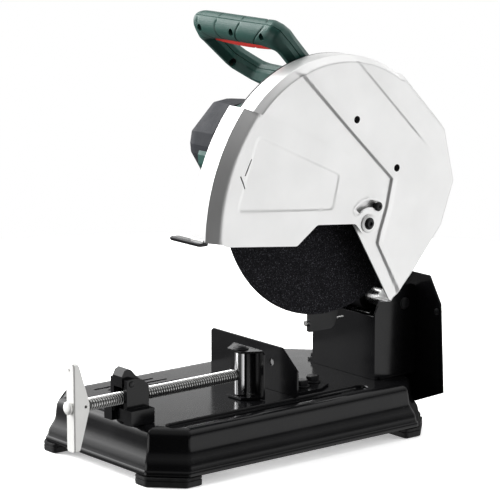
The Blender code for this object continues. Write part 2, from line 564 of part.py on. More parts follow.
def make_front_guard():
    x0, x1, x2 = FRONT_GUARD_X
    origin = (0.0, *GUARD_PIVOT)
    rim = arc(GUARD_PIVOT, FRONT_GUARD_R, *FRONT_GUARD_ARC, 14)
    inner = arc(GUARD_PIVOT, FRONT_GUARD_R - FRONT_GUARD_BEVEL, *FRONT_GUARD_ARC, 14)
    rear = [(52.0, 418.0), (85.0, 402.0), (116.0, 380.0), (119.0, 362.0), (116.0, 340.0), (104.0, 309.0),
            (88.0, 303.0), (74.0, 307.0), (63.0, 321.0), (-6.0, 328.0), (-42.0, 303.0), (-162.0, 317.0)]
    rings = [[(x, y, z) for y, z in ring] for x, ring in ((x0, rim + rear), (x1, rim + rear), (x2, inner + rear))]
    guard = add_object("front_guard", *loft(rings), GUARD_WHITE, origin)
    wall = 1.5
    cut_rim = arc(GUARD_PIVOT, FRONT_GUARD_R - wall, FRONT_GUARD_ARC[0] + 8.0, FRONT_GUARD_ARC[1] - 8.0, 14)
    cut_inner = arc(GUARD_PIVOT, FRONT_GUARD_R - FRONT_GUARD_BEVEL - wall, FRONT_GUARD_ARC[0] + 8.0,
                    FRONT_GUARD_ARC[1] - 8.0, 14)
    far = [(60.0, 560.0), (180.0, 420.0), (180.0, 250.0), (60.0, 240.0), (-60.0, 250.0), (-150.0, 270.0)]
    rings = [(x0 - 5.0, cut_rim + far), (x1 - 0.5, cut_rim + far), (x2 - wall, cut_inner + far)]
    combine(guard, loft([[(x, y, z) for y, z in ring] for x, ring in rings]))
    base = math.degrees(math.atan2(GUARD_STOP[1] - GUARD_PIVOT[1], GUARD_STOP[0] - GUARD_PIVOT[0]))
    radius = math.dist(GUARD_PIVOT, GUARD_STOP)
    slot = arc(GUARD_PIVOT, radius + 5.2, base - 9.0, base + 86.0, 14)
    slot += arc(GUARD_PIVOT, radius - 5.2, base + 86.0, base - 9.0, 14)
    combine(guard, across(slot, 140.0, 160.0))
    combine(guard, across(circle(GUARD_PIVOT, 5.3, 16), 140.0, 160.0))
    bar = [(-199.0, 317.7), (-184.0, 317.7), (-184.0, 323.4), (-199.0, 323.4)]
    add_object("lift_bar", *across(bar, 71.0, 138.0), DARK, origin)

    head = (0.0, *HEAD_PIVOT)
    bolt = [(156.5, 0.0), (156.5, 7.0), (152.0, 9.5), (152.0, 5.0), (140.0, 5.0), (140.0, 0.0)]
    add_object("guard_pivot_bolt", *turned(bolt, GUARD_PIVOT, "X", 24), BLACK_STEEL, head)
    stop = [(155.0, 0.0), (155.0, 6.5), (152.0, 6.5), (152.0, 4.0), (140.0, 4.0), (140.0, 0.0)]
    add_object("guard_stop_bolt", *turned(stop, GUARD_STOP, "X", 16), BLACK_STEEL, head)


# ------------------------------------------------------------------ handle

OUTER = ((-84.0, -19.0), (84.0, -19.0), (92.0, -9.0), (90.0, 20.0), (84.0, 64.0), (56.0, 104.0), (56.0, 138.0),
         (4.0, 138.0), (-12.0, 108.0), (-64.0, 60.0), (-92.0, 6.0), (-92.0, -9.0))
OPENING = ((-62.0, 19.0), (64.0, 19.0), (62.0, 52.0), (36.0, 78.0), (0.0, 78.0), (-46.0, 46.0))


def handle_point(x, t, n):
    return GRIP + Vector((x, 0.0, 0.0)) + ARM_WAY * t + FACE_WAY * n


def handle_loft(outline, levels):
    """levels are (n, inset) pairs; a positive inset shrinks the outline towards its middle."""
    middle = Vector((sum(p[0] for p in outline), sum(p[1] for p in outline))) / len(outline)
    rings = []
    for n, inset in levels:
        ring = []
        for x, t in outline:
            away = Vector((x, t)) - middle
            point = Vector((x, t)) - away.normalized() * inset
            ring.append(handle_point(point.x, point.y, n))
        rings.append(ring)
    return loft(rings)


def make_handle():
    origin = (0.0, *HEAD_PIVOT)
    for name, side in (("handle_front_half", 1), ("handle_back_half", -1)):
        inner, knee, outer = side * 0.15, side * 11.0, side * HANDLE_HALF
        half = add_object(name, *handle_loft(OUTER, ((inner, 0.0), (knee, 0.0), (outer, 7.0))), GREEN, origin)
        far = side * 25.0
        combine(half, handle_loft(OPENING, ((-inner * 4, 0.0), (knee, 0.0), (far, -10.0))))
        pocket = ((-40.0, -10.0), (74.0, -10.0), (74.0, 26.0), (-40.0, 26.0))
        combine(half, handle_loft(pocket, ((-inner * 4, 0.0), (side * 9.0, 0.0))))
    switch = ((-20.0, -9.0), (40.0, -9.0), (40.0, 4.5), (-20.0, 4.5))
    add_object("trigger_switch", *handle_loft(switch, ((-8.0, 0.0), (8.0, 0.0))), DARK, origin)
    grip = ((-38.0, 9.5), (72.0, 9.5), (72.0, 24.0), (30.0, 28.0), (-38.0, 24.0))
    trigger = handle_loft(grip, ((-8.0, 0.0), (8.0, 0.0)))
    add_object("trigger", *trigger, RED, tuple(handle_point(17.0, 16.0, 0.0)))
    rest = [(141.0, -18.0), (141.0, 16.0), (150.0, 14.0), (165.0, 3.0), (190.0, 3.0), (190.0, -18.0)]
    rings = [[handle_point(x, t, n) for t, n in rest] for x in (6.0, 54.0)]
    add_object("handle_bracket", *loft(rings), GREEN, origin)


def make_small_parts():
    origin = (0.0, *HEAD_PIVOT)
    for name, turn in (("brush_cap_front", 200.0), ("brush_cap_rear", 20.0)):
        way = Vector((0.0, math.cos(math.radians(turn)), math.sin(math.radians(turn))))
        side = Vector((1.0, 0.0, 0.0))
        up = way.cross(side)
        centre = Vector((-60.0, *MOTOR))
        rings = []
        for reach in (65.4, 68.5):
            ring = [centre + way * reach + 9.0 * (math.cos(a) * side + math.sin(a) * up)
                    for a in (2.0 * math.pi * k / 16 for k in range(16))]
            rings.append(ring)
        add_object(name, *loft(rings), DARK, origin)
    front = SPINDLE[0] - 40.0
    button = [(front - 14.0, 0.0), (front - 14.0, 8.0), (front - 5.0, 8.0), (front - 5.0, 5.0), (12.0, 5.0),
              (12.0, 0.0)]
    button_at = (LOCK_BUTTON[0], front, LOCK_BUTTON[1])
    add_object("spindle_lock_button", *turned(button, LOCK_BUTTON, "Y", 16), DARK, button_at)
    cable = turned([(465.5, 0.0), (465.5, 10.0), (473.0, 10.0), (480.0, 7.0), (480.0, 0.0)], (-60.0, 58.0), "Z", 16)
    add_object("cable_gland", *cable, DARK, origin)


make_base()
make_fence()
make_vise()
make_bracket()
make_lock_pin()
make_arm()
make_return_spring()
make_drive()
make_spindle()
make_fixed_guard()
make_front_guard()
make_handle()
make_small_parts()
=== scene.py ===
"""Looks for the abrasive chop saw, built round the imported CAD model.

Drawing sizes are in millimetres: X across the machine, Y from the operator to the back with 0 at the fence
face, Z up. at() turns them into metres in the row frame.
"""

import json
import math

import bmesh
import bpy
import numpy as np
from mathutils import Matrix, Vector


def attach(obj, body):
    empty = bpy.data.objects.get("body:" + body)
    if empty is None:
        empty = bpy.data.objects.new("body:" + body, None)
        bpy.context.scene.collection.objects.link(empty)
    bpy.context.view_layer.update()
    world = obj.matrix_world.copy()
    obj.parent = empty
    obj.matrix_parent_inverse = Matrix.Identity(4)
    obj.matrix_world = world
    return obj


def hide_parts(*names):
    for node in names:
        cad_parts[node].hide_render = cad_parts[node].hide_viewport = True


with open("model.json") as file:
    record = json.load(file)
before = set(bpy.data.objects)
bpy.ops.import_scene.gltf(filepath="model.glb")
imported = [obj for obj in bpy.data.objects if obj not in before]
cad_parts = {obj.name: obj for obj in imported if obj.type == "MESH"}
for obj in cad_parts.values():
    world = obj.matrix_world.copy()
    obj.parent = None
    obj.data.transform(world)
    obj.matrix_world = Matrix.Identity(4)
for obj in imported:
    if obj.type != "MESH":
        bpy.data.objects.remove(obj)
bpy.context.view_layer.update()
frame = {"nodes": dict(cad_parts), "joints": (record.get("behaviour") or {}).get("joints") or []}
NODES = frame["nodes"]

MM = 0.001

# The head pivot is at (y 201, z 181) in the drawing, which gives the drawing's place in the row frame.
HEAD_PIVOT = (201.0, 181.0)
PIVOT_JOINT = next(joint for joint in frame["joints"] if joint["name"] == "head_pivot")
ORIGIN_Y = Vector(PIVOT_JOINT["pos_m"]).y / MM - HEAD_PIVOT[0]


def at(x, y, z):
    return Vector((x, y + ORIGIN_Y, z)) * MM


# ------------------------------------------------------------------ driving sizes, as in the CAD

# A place is (y, z) for an axis that runs across the machine, and (x, y) for an upright one. An arc is given by
# its two ends in degrees.
TABLE = 76.0
BASE_HALF_X = 158.4
BASE_FRONT, BASE_REAR = -275.0, 220.0
CHANNEL_X, CHANNEL_Y, CHANNEL_FLOOR = (102.0, 127.0), (-236.0, 115.0), 71.0
SLOT_X, SLOT_Y = (108.0, 121.0), (-150.0, 75.0)

SPINDLE = (38.0, 370.0)
MOTOR = (58.0, 400.0)
WHEEL_X, WHEEL_R, WHEEL_HALF = 114.0, 177.5, 1.5
GUARD_CENTRE, GUARD_R = (40.0, 357.0), 198.0
GUARD_ARC = (157.0, 56.0)
GUARD_BACK = ((160.0, 519.0), (238.0, 439.0), (258.0, 360.0), (234.0, 296.0), (182.0, 236.0), (144.0, 198.0))
GUARD_LOWER = ((132.0, 203.0), (62.5, 322.0), (-20.0, 336.0))
GUARD_PIVOT, GUARD_STOP = (86.0, 319.0), (103.0, 341.0)
GUARD_SCREWS = ((68.0, 465.0), (142.0, 390.0))
FRONT_R = 275.0
FRONT_ARC = (179.0, 139.4)

VISE_X, VISE_Z = 55.0, 109.5
SCREW_R, THREAD_DEPTH, PITCH, SCREW_FRONT = 8.8, 1.6, 4.0, -352.5
JAW_PIN_Y = -63.0
LEVER_PIVOT = (-265.0, 131.0)
FENCE_PIVOT, FENCE_CLAMP = (70.0, 35.0), (60.0, 63.0)
BRACKET_X = (-37.0, 100.0)
LOCK_PIN = (203.0, 152.0)

GRIP = Vector((0.0, -25.0, 584.0))
ARM_WAY = Vector((0.0, 0.700, -0.714)).normalized()
FACE_WAY = Vector((0.0, -0.714, -0.700)).normalized()


# ------------------------------------------------------------------ materials

class Tree:
    """A short way to write a node tree."""

    def __init__(self, tree):
        self.tree = tree

    def put(self, socket, value):
        if isinstance(value, bpy.types.NodeSocket):
            self.tree.links.new(value, socket)
        else:
            socket.default_value = value

    def add(self, kind, inputs=None, **settings):
        node = self.tree.nodes.new("ShaderNode" + kind)
        for key, value in settings.items():
            setattr(node, key, value)
        for key, value in (inputs or {}).items():
            self.put(node.inputs[key], value)
        return node

    def ramp(self, value, low, high, start=0.0, end=1.0, **settings):
        """Maps value from low..high to start..end, held at the ends."""
        inputs = {"Value": value, "From Min": low, "From Max": high, "To Min": start, "To Max": end}
        return self.add("MapRange", inputs, **settings).outputs["Result"]

    def times(self, first, second, operation="MULTIPLY"):
        """The product of two values, or the result of another operation on them."""
        return self.add("Math", {0: first, 1: second}, operation=operation).outputs[0]


class Nodes(Tree):
    """The node tree of a new material."""

    def __init__(self, name):
        self.material = bpy.data.materials.new(name)
        self.material.use_nodes = True
        super().__init__(self.material.node_tree)
        self.shader = self.tree.nodes["Principled BSDF"]
        self.place = self.add("TexCoord").outputs["Object"]

    def noise(self, scale, detail=3.0, roughness=0.5, stretch=None):
        """Noise over the object, from 0 to 1. stretch scales each axis, for brushed or turned marks."""
        where = self.place
        if stretch:
            where = self.add("Mapping", {"Vector": self.place, "Scale": stretch}).outputs[0]
        inputs = {"Vector": where, "Scale": scale, "Detail": detail, "Roughness": roughness}
        return self.add("TexNoise", inputs).outputs["Fac"]

    def blend(self, factor, first, second):
        a, b = ((*colour, 1.0) if isinstance(colour, tuple) else colour for colour in (first, second))
        return self.add("Mix", {0: factor, 6: a, 7: b}, data_type="RGBA").outputs[2]

    def tones(self, dark, light, scale, detail=3.0, roughness=0.5, low=0.3, high=0.7):
        """A colour that drifts between two tones over the object."""
        return self.blend(self.ramp(self.noise(scale, detail, roughness), low, high), dark, light)

    def bump(self, height, strength, distance, normal=None):
        node = self.add("Bump", {"Height": height, "Strength": strength, "Distance": distance})
        if normal is not None:
            self.put(node.inputs["Normal"], normal)
        return node.outputs["Normal"]

    def edges(self, low, high):
        """1 on convex edges, where paint and plastic wear, and 0 on flats."""
        return self.ramp(self.add("NewGeometry").outputs["Pointiness"], low, high)

    def finish(self, colour, roughness, metallic=0.0, specular=0.5, normal=None):
        self.put(self.shader.inputs["Base Color"], colour)
        self.put(self.shader.inputs["Roughness"], roughness)
        self.shader.inputs["Metallic"].default_value = metallic
        self.shader.inputs["Specular IOR Level"].default_value = specular
        if normal is not None:
            self.put(self.shader.inputs["Normal"], normal)
        return self.material


def painted_metal(name, dark, light, roughness, grain, grain_scale, specular, dust=0.0, wear=None, metallic=0.0,
                  smudging=1.0):
    """Sprayed paint: orange peel, slow colour drift, light dust and smudges and, if asked, worn edges."""
    n = Nodes(name)
    colour = n.tones(dark, light, 14.0, 4.0, 0.55)
    if dust:
        specks = n.ramp(n.noise(900.0, 2.0, 0.6), 0.66, 0.78, 0.0, dust)
        colour = n.blend(specks, colour, (0.5, 0.5, 0.49))
    if wear:
        broken = n.times(n.edges(0.56, 0.66), n.ramp(n.noise(120.0, 4.0, 0.7), 0.5, 0.68))
        colour = n.blend(broken, colour, wear)
    clean, greasy = roughness * (1.0 - 0.15 * smudging), roughness * (1.0 + 0.3 * smudging)
    smudges = n.ramp(n.noise(22.0, 5.0, 0.6), 0.35, 0.75, clean, greasy)
    peel = n.bump(n.noise(grain_scale, 2.0, 0.4), grain, 0.0006)
    return n.finish(colour, smudges, metallic, specular, peel)


def moulded_plastic(name, dark, light, roughness, specular=0.4):
    """Spark-eroded moulded plastic: a fine leathery grain with slightly paler worn edges."""
    n = Nodes(name)
    colour = n.tones(dark, light, 30.0, 4.0, 0.6)
    pale = tuple(min(1.0, c * 1.7 + 0.01) for c in light)
    colour = n.blend(n.times(n.edges(0.53, 0.62), 0.45), colour, pale)
    grain = n.add("TexVoronoi", {"Vector": n.place, "Scale": 1500.0}).outputs["Distance"]
    fine = n.bump(grain, 0.22, 0.0004)
    both = n.bump(n.noise(2600.0, 2.0, 0.6), 0.12, 0.0003, fine)
    rough = n.ramp(n.noise(60.0, 4.0, 0.6), 0.3, 0.75, roughness * 0.85, roughness * 1.2)
    return n.finish(colour, rough, 0.0, specular, both)


def bright_metal(name, colour, roughness, stretch, scale=1.0, dirt=0.25, marks=0.25):
    """Turned, ground or plated metal: fine marks along one way, with a little grime in the hollows."""
    n = Nodes(name)
    lines = n.noise(400.0 * scale, 4.0, 0.6, stretch)
    stains = n.ramp(n.noise(70.0, 5.0, 0.65), 0.5, 0.75, 0.0, dirt)
    shade = n.blend(stains, colour, tuple(c * 0.45 for c in colour))
    shade = n.blend(n.ramp(lines, 0.35, 0.65, 0.0, 0.25), shade, tuple(c * 0.8 for c in colour))
    rough = n.times(n.ramp(lines, 0.3, 0.7, roughness * 0.7, roughness * 1.35), n.ramp(stains, 0.0, 1.0, 1.0, 1.6))
    return n.finish(shade, rough, 1.0, 0.5, n.bump(lines, marks, 0.0002))


def threaded_zinc(axis, crest, root):
    """Bright plating on the crests of a thread about axis (x, z), with painted shade darkening its grooves."""
    n = Nodes("plated_thread")
    split = n.add("SeparateXYZ", {"Vector": n.place})
    across_x = n.times(n.times(split.outputs["X"], axis[0] * MM, "SUBTRACT"), 2.0, "POWER")
    across_z = n.times(n.times(split.outputs["Z"], axis[1] * MM, "SUBTRACT"), 2.0, "POWER")
    radius = n.times(n.times(across_x, across_z, "ADD"), 0.5, "POWER")
    height = n.ramp(radius, root * MM, crest * MM)
    stains = n.ramp(n.noise(90.0, 5.0, 0.65), 0.45, 0.75, 0.0, 0.3)
    plated = n.blend(stains, (0.84, 0.84, 0.83), (0.45, 0.45, 0.44))
    # Painted shade: the colour darkens from the crests down to the thread's root.
    colour = n.blend(n.ramp(height, 0.05, 0.6), (0.13, 0.13, 0.125), plated)
    rough = n.ramp(height, 0.2, 0.9, 0.5, 0.22)
    return n.finish(colour, rough, 1.0, 0.5, n.bump(n.noise(900.0, 3.0, 0.6), 0.2, 0.0002))


def abrasive_wheel():
    """Resin-bonded grit: dark grains of several sizes with a few that catch the light."""
    n = Nodes("abrasive_grit")
    cells = n.add("TexVoronoi", {"Vector": n.place, "Scale": 620.0}, feature="F1")
    fine = n.noise(1500.0, 4.0, 0.7)
    colour = n.tones((0.002, 0.002, 0.003), (0.012, 0.012, 0.015), 260.0, 5.0, 0.75, 0.42, 0.72)
    bright = n.ramp(n.noise(560.0, 3.0, 0.8), 0.57, 0.68, 0.0, 0.9)
    colour = n.blend(bright, colour, (0.15, 0.15, 0.17))
    height = n.times(cells.outputs["Distance"], fine, "ADD")
    grit = n.bump(height, 0.9, 0.0010)
    return n.finish(colour, n.ramp(fine, 0.3, 0.7, 0.75, 0.95), 0.0, 0.2, grit)


def moulded_rubber():
    n = Nodes("moulded_rubber")
    colour = n.tones((0.006, 0.006, 0.006), (0.016, 0.016, 0.017), 80.0, 4.0, 0.6, 0.35)
    grain = n.bump(n.noise(1400.0, 3.0, 0.6), 0.3, 0.0004)
    return n.finish(colour, n.ramp(n.noise(50.0), 0.3, 0.7, 0.55, 0.75), 0.0, 0.35, grain)


def cast_metal(name, colour):
    """As-cast or sand-blasted metal with a pebbled skin."""
    n = Nodes(name)
    tone = n.tones(tuple(c * 0.8 for c in colour), colour, 45.0, 5.0, 0.6)
    pebbles = n.bump(n.noise(900.0, 4.0, 0.65), 0.35, 0.0006)
    return n.finish(tone, n.ramp(n.noise(200.0), 0.3, 0.7, 0.4, 0.6), 1.0, 0.5, pebbles)


def wound_copper():
    n = Nodes("varnished_windings")
    inputs = {"Vector": n.place, "Scale": 420.0, "Distortion": 1.5, "Detail": 2.0}
    wires = n.add("TexWave", inputs, bands_direction="X").outputs["Fac"]
    colour = n.blend(wires, (0.16, 0.055, 0.02), (0.60, 0.26, 0.10))
    return n.finish(colour, n.ramp(n.noise(90.0), 0.3, 0.7, 0.3, 0.5), 1.0, 0.5, n.bump(wires, 0.5, 0.0006))


GLOSS_BLACK = painted_metal("gloss_black_paint", (0.0035, 0.0035, 0.004), (0.006, 0.006, 0.0065), 0.16, 0.02, 420.0,
                            0.32, dust=0.02)
SATIN_BLACK = painted_metal("satin_black_steel", (0.006, 0.006, 0.0065), (0.011, 0.011, 0.012), 0.33, 0.12, 700.0,
                            0.32, dust=0.05, wear=(0.16, 0.16, 0.165))
GUARD_WHITE = painted_metal("guard_silver_paint", (0.85, 0.85, 0.845), (0.90, 0.90, 0.895), 0.38, 0.16, 1500.0,
                            0.5, dust=0.03, metallic=0.8, smudging=0.35)
HANDLE_STEEL = painted_metal("pale_passivated_sheet", (0.76, 0.76, 0.74), (0.84, 0.84, 0.82), 0.36, 0.08, 800.0,
                             0.5, metallic=0.2)
GREEN = moulded_plastic("green_moulded_plastic", (0.009, 0.043, 0.035), (0.012, 0.052, 0.042), 0.38, 0.5)
DARK_PLASTIC = moulded_plastic("dark_moulded_plastic", (0.016, 0.017, 0.020), (0.022, 0.023, 0.027), 0.55, 0.2)
RED = moulded_plastic("red_moulded_plastic", (0.62, 0.022, 0.016), (0.70, 0.032, 0.022), 0.36)
RUBBER = moulded_rubber()
ABRASIVE = abrasive_wheel()
ZINC = bright_metal("bright_zinc_steel", (0.80, 0.80, 0.79), 0.22, (1.0, 1.0, 1.0), 1.2)
THREAD = threaded_zinc((VISE_X, VISE_Z), SCREW_R, SCREW_R - THREAD_DEPTH)
GROUND_PIN = bright_metal("ground_chromed_pin", (0.84, 0.84, 0.85), 0.12, (0.12, 0.12, 3.0), 1.5, dirt=0.08,
                          marks=0.1)
TURNED_X = bright_metal("turned_steel", (0.72, 0.72, 0.72), 0.25, (6.0, 0.3, 0.3), 1.0)
CAST = cast_metal("as_cast_aluminium", (0.56, 0.57, 0.58))
COPPER = wound_copper()
# Near-black paint for the black screw heads. It is also painted shade on dark sheets put behind slots and at the
# bottom of recesses, where only shade is seen.
BLACK_SCREWS_AND_PAINTED_SHADE = painted_metal("black_screws_and_painted_shade", (0.001, 0.001, 0.001), (0.002, 0.002, 0.002), 0.8, 0.05, 500.0, 0.1)


# ------------------------------------------------------------------ mesh tools

def mesh_of(name, shape, material):
    """A mesh from (points, faces) in drawing millimetres, with its faces turned outwards."""
    points, faces = shape
    mesh = bpy.data.meshes.new(name)
    mesh.from_pydata([at(*p) for p in points], [], faces)
    editor = bmesh.new()
    editor.from_mesh(mesh)
    bmesh.ops.recalc_face_normals(editor, faces=editor.faces)
    editor.to_mesh(mesh)
    editor.free()
    mesh.materials.append(material)
    return mesh


def placed(name, mesh):
    made = bpy.data.objects.new(name, mesh)
    bpy.context.scene.collection.objects.link(made)
    return made


def shade(mesh, angle=38.0):
    mesh.shade_smooth()
    mesh.set_sharp_from_angle(angle=math.radians(angle))


def piece(name, shape, material, body, replaces=None, bevel=0.0, smooth=38.0, even=False):
    """A piece of the machine that rides on a body. replaces names the CAD node that it stands for."""
    made = placed(name, mesh_of(name, shape, material))
    shade(made.data, smooth)
    if bevel:
        round_edges(made, bevel)
    if even:
        even_normals(made)
    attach(made, body)
    if replaces:
        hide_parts(replaces)
    return made


def round_edges(made, width, segments=2, angle=32.0):
    rounding = made.modifiers.new("rounded_edges", "BEVEL")
    rounding.width = width * MM
    rounding.segments = segments
    rounding.limit_method = "ANGLE"
    rounding.angle_limit = math.radians(angle)
    rounding.use_clamp_overlap = True
    rounding.harden_normals = True


def even_normals(made):
    """Keeps large flats looking flat beside rounded edges."""
    evening = made.modifiers.new("even_normals", "WEIGHTED_NORMAL")
    evening.keep_sharp = True
    evening.weight = 80


def flatten(made):
    """Makes a piece's modifiers part of its mesh, so that a cut can follow them."""
    bpy.context.view_layer.update()
    graph = bpy.context.evaluated_depsgraph_get()
    result = bpy.data.meshes.new_from_object(made.evaluated_get(graph), depsgraph=graph)
    made.modifiers.clear()
    made.data = result


def combine(target, shape, operation="DIFFERENCE"):
    """Cuts shape from a piece that has no modifiers yet, or joins it on."""
    helper_name = target.name + "_cutter"
    helper = placed(helper_name, mesh_of(helper_name, shape, target.data.materials[0]))
    change = target.modifiers.new("cut", "BOOLEAN")
    change.operation = operation
    change.solver = "EXACT"
    change.object = helper
    flatten(target)
    bpy.data.objects.remove(helper)
    shade(target.data)


def joined(*shapes):
    points, faces = [], []
    for some_points, some_faces in shapes:
        first = len(points)
        points += list(some_points)
        faces += [tuple(first + i for i in face) for face in some_faces]
    return points, faces


def loft(rings, closed=False):
    """A skin through rings of equal length. closed joins the last ring to the first instead of capping."""
    count = len(rings[0])
    points = [tuple(point) for ring in rings for point in ring]
    faces = []
    if not closed:
        faces += [tuple(range(count)), tuple(range(len(points) - count, len(points)))]
    levels = len(rings) if closed else len(rings) - 1
    for level in range(levels):
        a, b = level * count, (level + 1) % len(rings) * count
        faces += [(a + i, a + (i + 1) % count, b + (i + 1) % count, b + i) for i in range(count)]
    return points, faces


def lifted(axis, place, a, b):
    """The point at place along an axis, with a and b on the other two axes in their order."""
    return {"X": (place, a, b), "Y": (a, place, b), "Z": (a, b, place)}[axis]


def stacked(outline, levels, axis="X", steps=3):
    """A skin through an outline at levels along an axis: (place, inset) or (place, inset, corner radius)."""
    rings = []
    for place, inset, *corner in levels:
        ring = offset(outline, inset) if inset else outline
        if corner:
            ring = rounded(ring, corner[0], steps)
        rings.append([lifted(axis, place, a, b) for a, b in ring])
    return loft(rings)


def across(outline, x0, x1):
    return stacked(outline, ((x0, 0.0), (x1, 0.0)))


def along(outline, y0, y1):
    return stacked(outline, ((y0, 0.0), (y1, 0.0)), "Y")


def upward(outline, z0, z1):
    return stacked(outline, ((z0, 0.0), (z1, 0.0)), "Z")


def arc(centre, radius, start, end, steps):
    angles = [math.radians(start + (end - start) * i / steps) for i in range(steps + 1)]
    return [(centre[0] + radius * math.cos(a), centre[1] + radius * math.sin(a)) for a in angles]


def circle(centre, radius, steps=32):
    return arc(centre, radius, 0.0, 360.0 * (steps - 1) / steps, steps - 1)


def about(axis, centre, place, radius, turn):
    """The point at place along an axis through centre, radius away from it at an angle in radians."""
    return lifted(axis, place, centre[0] + radius * math.cos(turn), centre[1] + radius * math.sin(turn))


def turned(profile, centre, axis="X", steps=48, bored=False):
    """Turns (distance along the axis, radius) points about an axis through centre, and closes its ends."""
    if not bored:
        first, last = ([(place, 0.0)] if radius else [] for place, radius in (profile[0], profile[-1]))
        profile = first + profile + last
    points, rings = [], []
    for place, radius in profile:
        count = steps if radius else 1
        rings.append(range(len(points), len(points) + count))
        points += [about(axis, centre, place, radius, 2.0 * math.pi * i / steps) for i in range(count)]
    pairs = list(zip(rings, rings[1:]))
    if bored:
        pairs.append((rings[-1], rings[0]))
    faces = []
    for a, b in pairs:
        for i in range(steps):
            j = (i + 1) % steps
            corners = [a[i % len(a)], a[j % len(a)], b[j % len(b)], b[i % len(b)]]
            faces.append(tuple(dict.fromkeys(corners)))
    return points, faces


def rod(x0, x1, radius, centre, axis="X", steps=32, chamfer=0.8):
    profile = [(x0, radius - chamfer), (x0 + chamfer, radius), (x1 - chamfer, radius),
               (x1, radius - chamfer)]
    return turned(profile, centre, axis, steps)


def rounded(outline, radius, steps=5):
    """Rounds the corners of a closed outline. radius is one number or one per corner."""
    count = len(outline)
    radii = [radius] * count if isinstance(radius, (int, float)) else list(radius)
    result = []
    for i in range(count):
        corner, before, after = (Vector(outline[j % count]) for j in (i, i - 1, i + 1))
        to_before, to_after = before - corner, after - corner
        if radii[i] <= 0.0:
            result.append(tuple(corner))
            continue
        half = to_before.angle(to_after) / 2.0
        reach = min(radii[i] / math.tan(half), to_before.length * 0.48, to_after.length * 0.48)
        start = corner + to_before.normalized() * reach
        end = corner + to_after.normalized() * reach
        for k in range(steps + 1):
            t = k / steps
            point = start * (1 - t) ** 2 + corner * 2 * t * (1 - t) + end * t ** 2
            result.append(tuple(point))
    return result


def resampled(line, step):
    """An open line again, with its long runs divided so that none is longer than step."""
    points = []
    for a, b in zip(line, line[1:]):
        a, b = Vector(a), Vector(b)
        parts = max(1, math.ceil((b - a).length / step))
        points += [tuple(a.lerp(b, k / parts)) for k in range(parts)]
    return points + [tuple(line[-1])]


def offset(outline, distance):
    """A closed outline moved inwards by distance, or outwards if it is negative."""
    count = len(outline)
    area = sum(outline[i][0] * outline[(i + 1) % count][1] - outline[(i + 1) % count][0] * outline[i][1]
               for i in range(count))
    turn = 1.0 if area > 0 else -1.0
    result = []
    for i in range(count):
        a, b, c = (Vector(outline[j % count]) for j in (i - 1, i, i + 1))
        before, after = (b - a).normalized(), (c - b).normalized()
        n1 = Vector((-before.y, before.x)) * turn
        n2 = Vector((-after.y, after.x)) * turn
        middle = n1 + n2
        middle = middle / max(middle.dot(n1), 0.35)
        result.append(tuple(b + middle * distance))
    return result


def round_ended(x_span, y_span, steps=14):
    half = 0.5 * (x_span[1] - x_span[0])
    middle, front, rear = x_span[0] + half, y_span[0] + half, y_span[1] - half
    return arc((middle, rear), half, 0.0, 180.0, steps) + arc((middle, front), half, 180.0, 360.0, steps)


def keep(node, material, bevel, segments=2):
    """A CAD node that is shown as it is, with its edges rounded and a better material."""
    shown = NODES[node]
    shown.data.materials.clear()
    shown.data.materials.append(material)
    for polygon in shown.data.polygons:
        polygon.material_index = 0
    weld = shown.modifiers.new("weld", "WELD")
    weld.merge_threshold = 0.02 * MM
    if bevel:
        round_edges(shown, bevel, segments, 30.0)
        even_normals(shown)


def hexagon_bolt(base, head, flat, centre, axis="Z", washer=0.0, washer_r=0.0):
    """A hexagon head standing on base and growing by head (which may be negative), with a washer if asked."""
    shapes = []
    if washer:
        profile = [(base, washer_r), (base + washer * 0.7, washer_r),
                   (base + washer, washer_r - 0.6)]
        shapes.append(turned(profile, centre, axis, 40))
        base += washer
    corner = flat / math.cos(math.pi / 6)
    turns = [math.radians(60.0 * i + 10.0) for i in range(6)]
    shapes.append(loft([[about(axis, centre, base + head * share, corner * size, turn) for turn in turns]
                        for share, size in ((0.0, 1.0), (0.84, 1.0), (1.0, 0.88))]))
    return joined(*shapes)


# ------------------------------------------------------------------ base

# The section of the pan from its foot up to the table: (height, inset from the widest outline).
SKIRT = (
    (14.0, 1.6), (14.8, 0.5), (16.5, 0.0), (19.5, 0.2), (21.2, 1.4), (22.6, 2.3), (27.0, 2.9), (32.0, 4.2),
    (37.0, 6.6), (42.0, 9.2), (47.0, 10.8), (54.0, 11.6), (62.0, 12.3), (67.0, 13.0), (70.5, 14.4), (73.2, 16.6),
    (75.0, 19.4), (75.8, 22.4), (76.0, 25.5), (76.0, 29.0),
)
SHEET = 2.5


def base_outline(inset, z):
    x, front, rear = BASE_HALF_X - inset, BASE_FRONT + inset, BASE_REAR - inset
    cut = 42.0 - inset * 0.25
    corners = [
        (x, front + cut), (x, rear - cut), (x - cut, rear), (cut - x, rear),
        (-x, rear - cut), (-x, front + cut), (cut - x, front), (x - cut, front),
    ]
    return [(a, b, z) for a, b in rounded(corners, 9.0 - inset * 0.1)]


def channel_outline(grow):
    """The pressed channel round the wheel's slot, grown by so much all round."""
    x_span, y_span = ((low - grow, high + grow) for low, high in (CHANNEL_X, CHANNEL_Y))
    return round_ended(x_span, y_span)


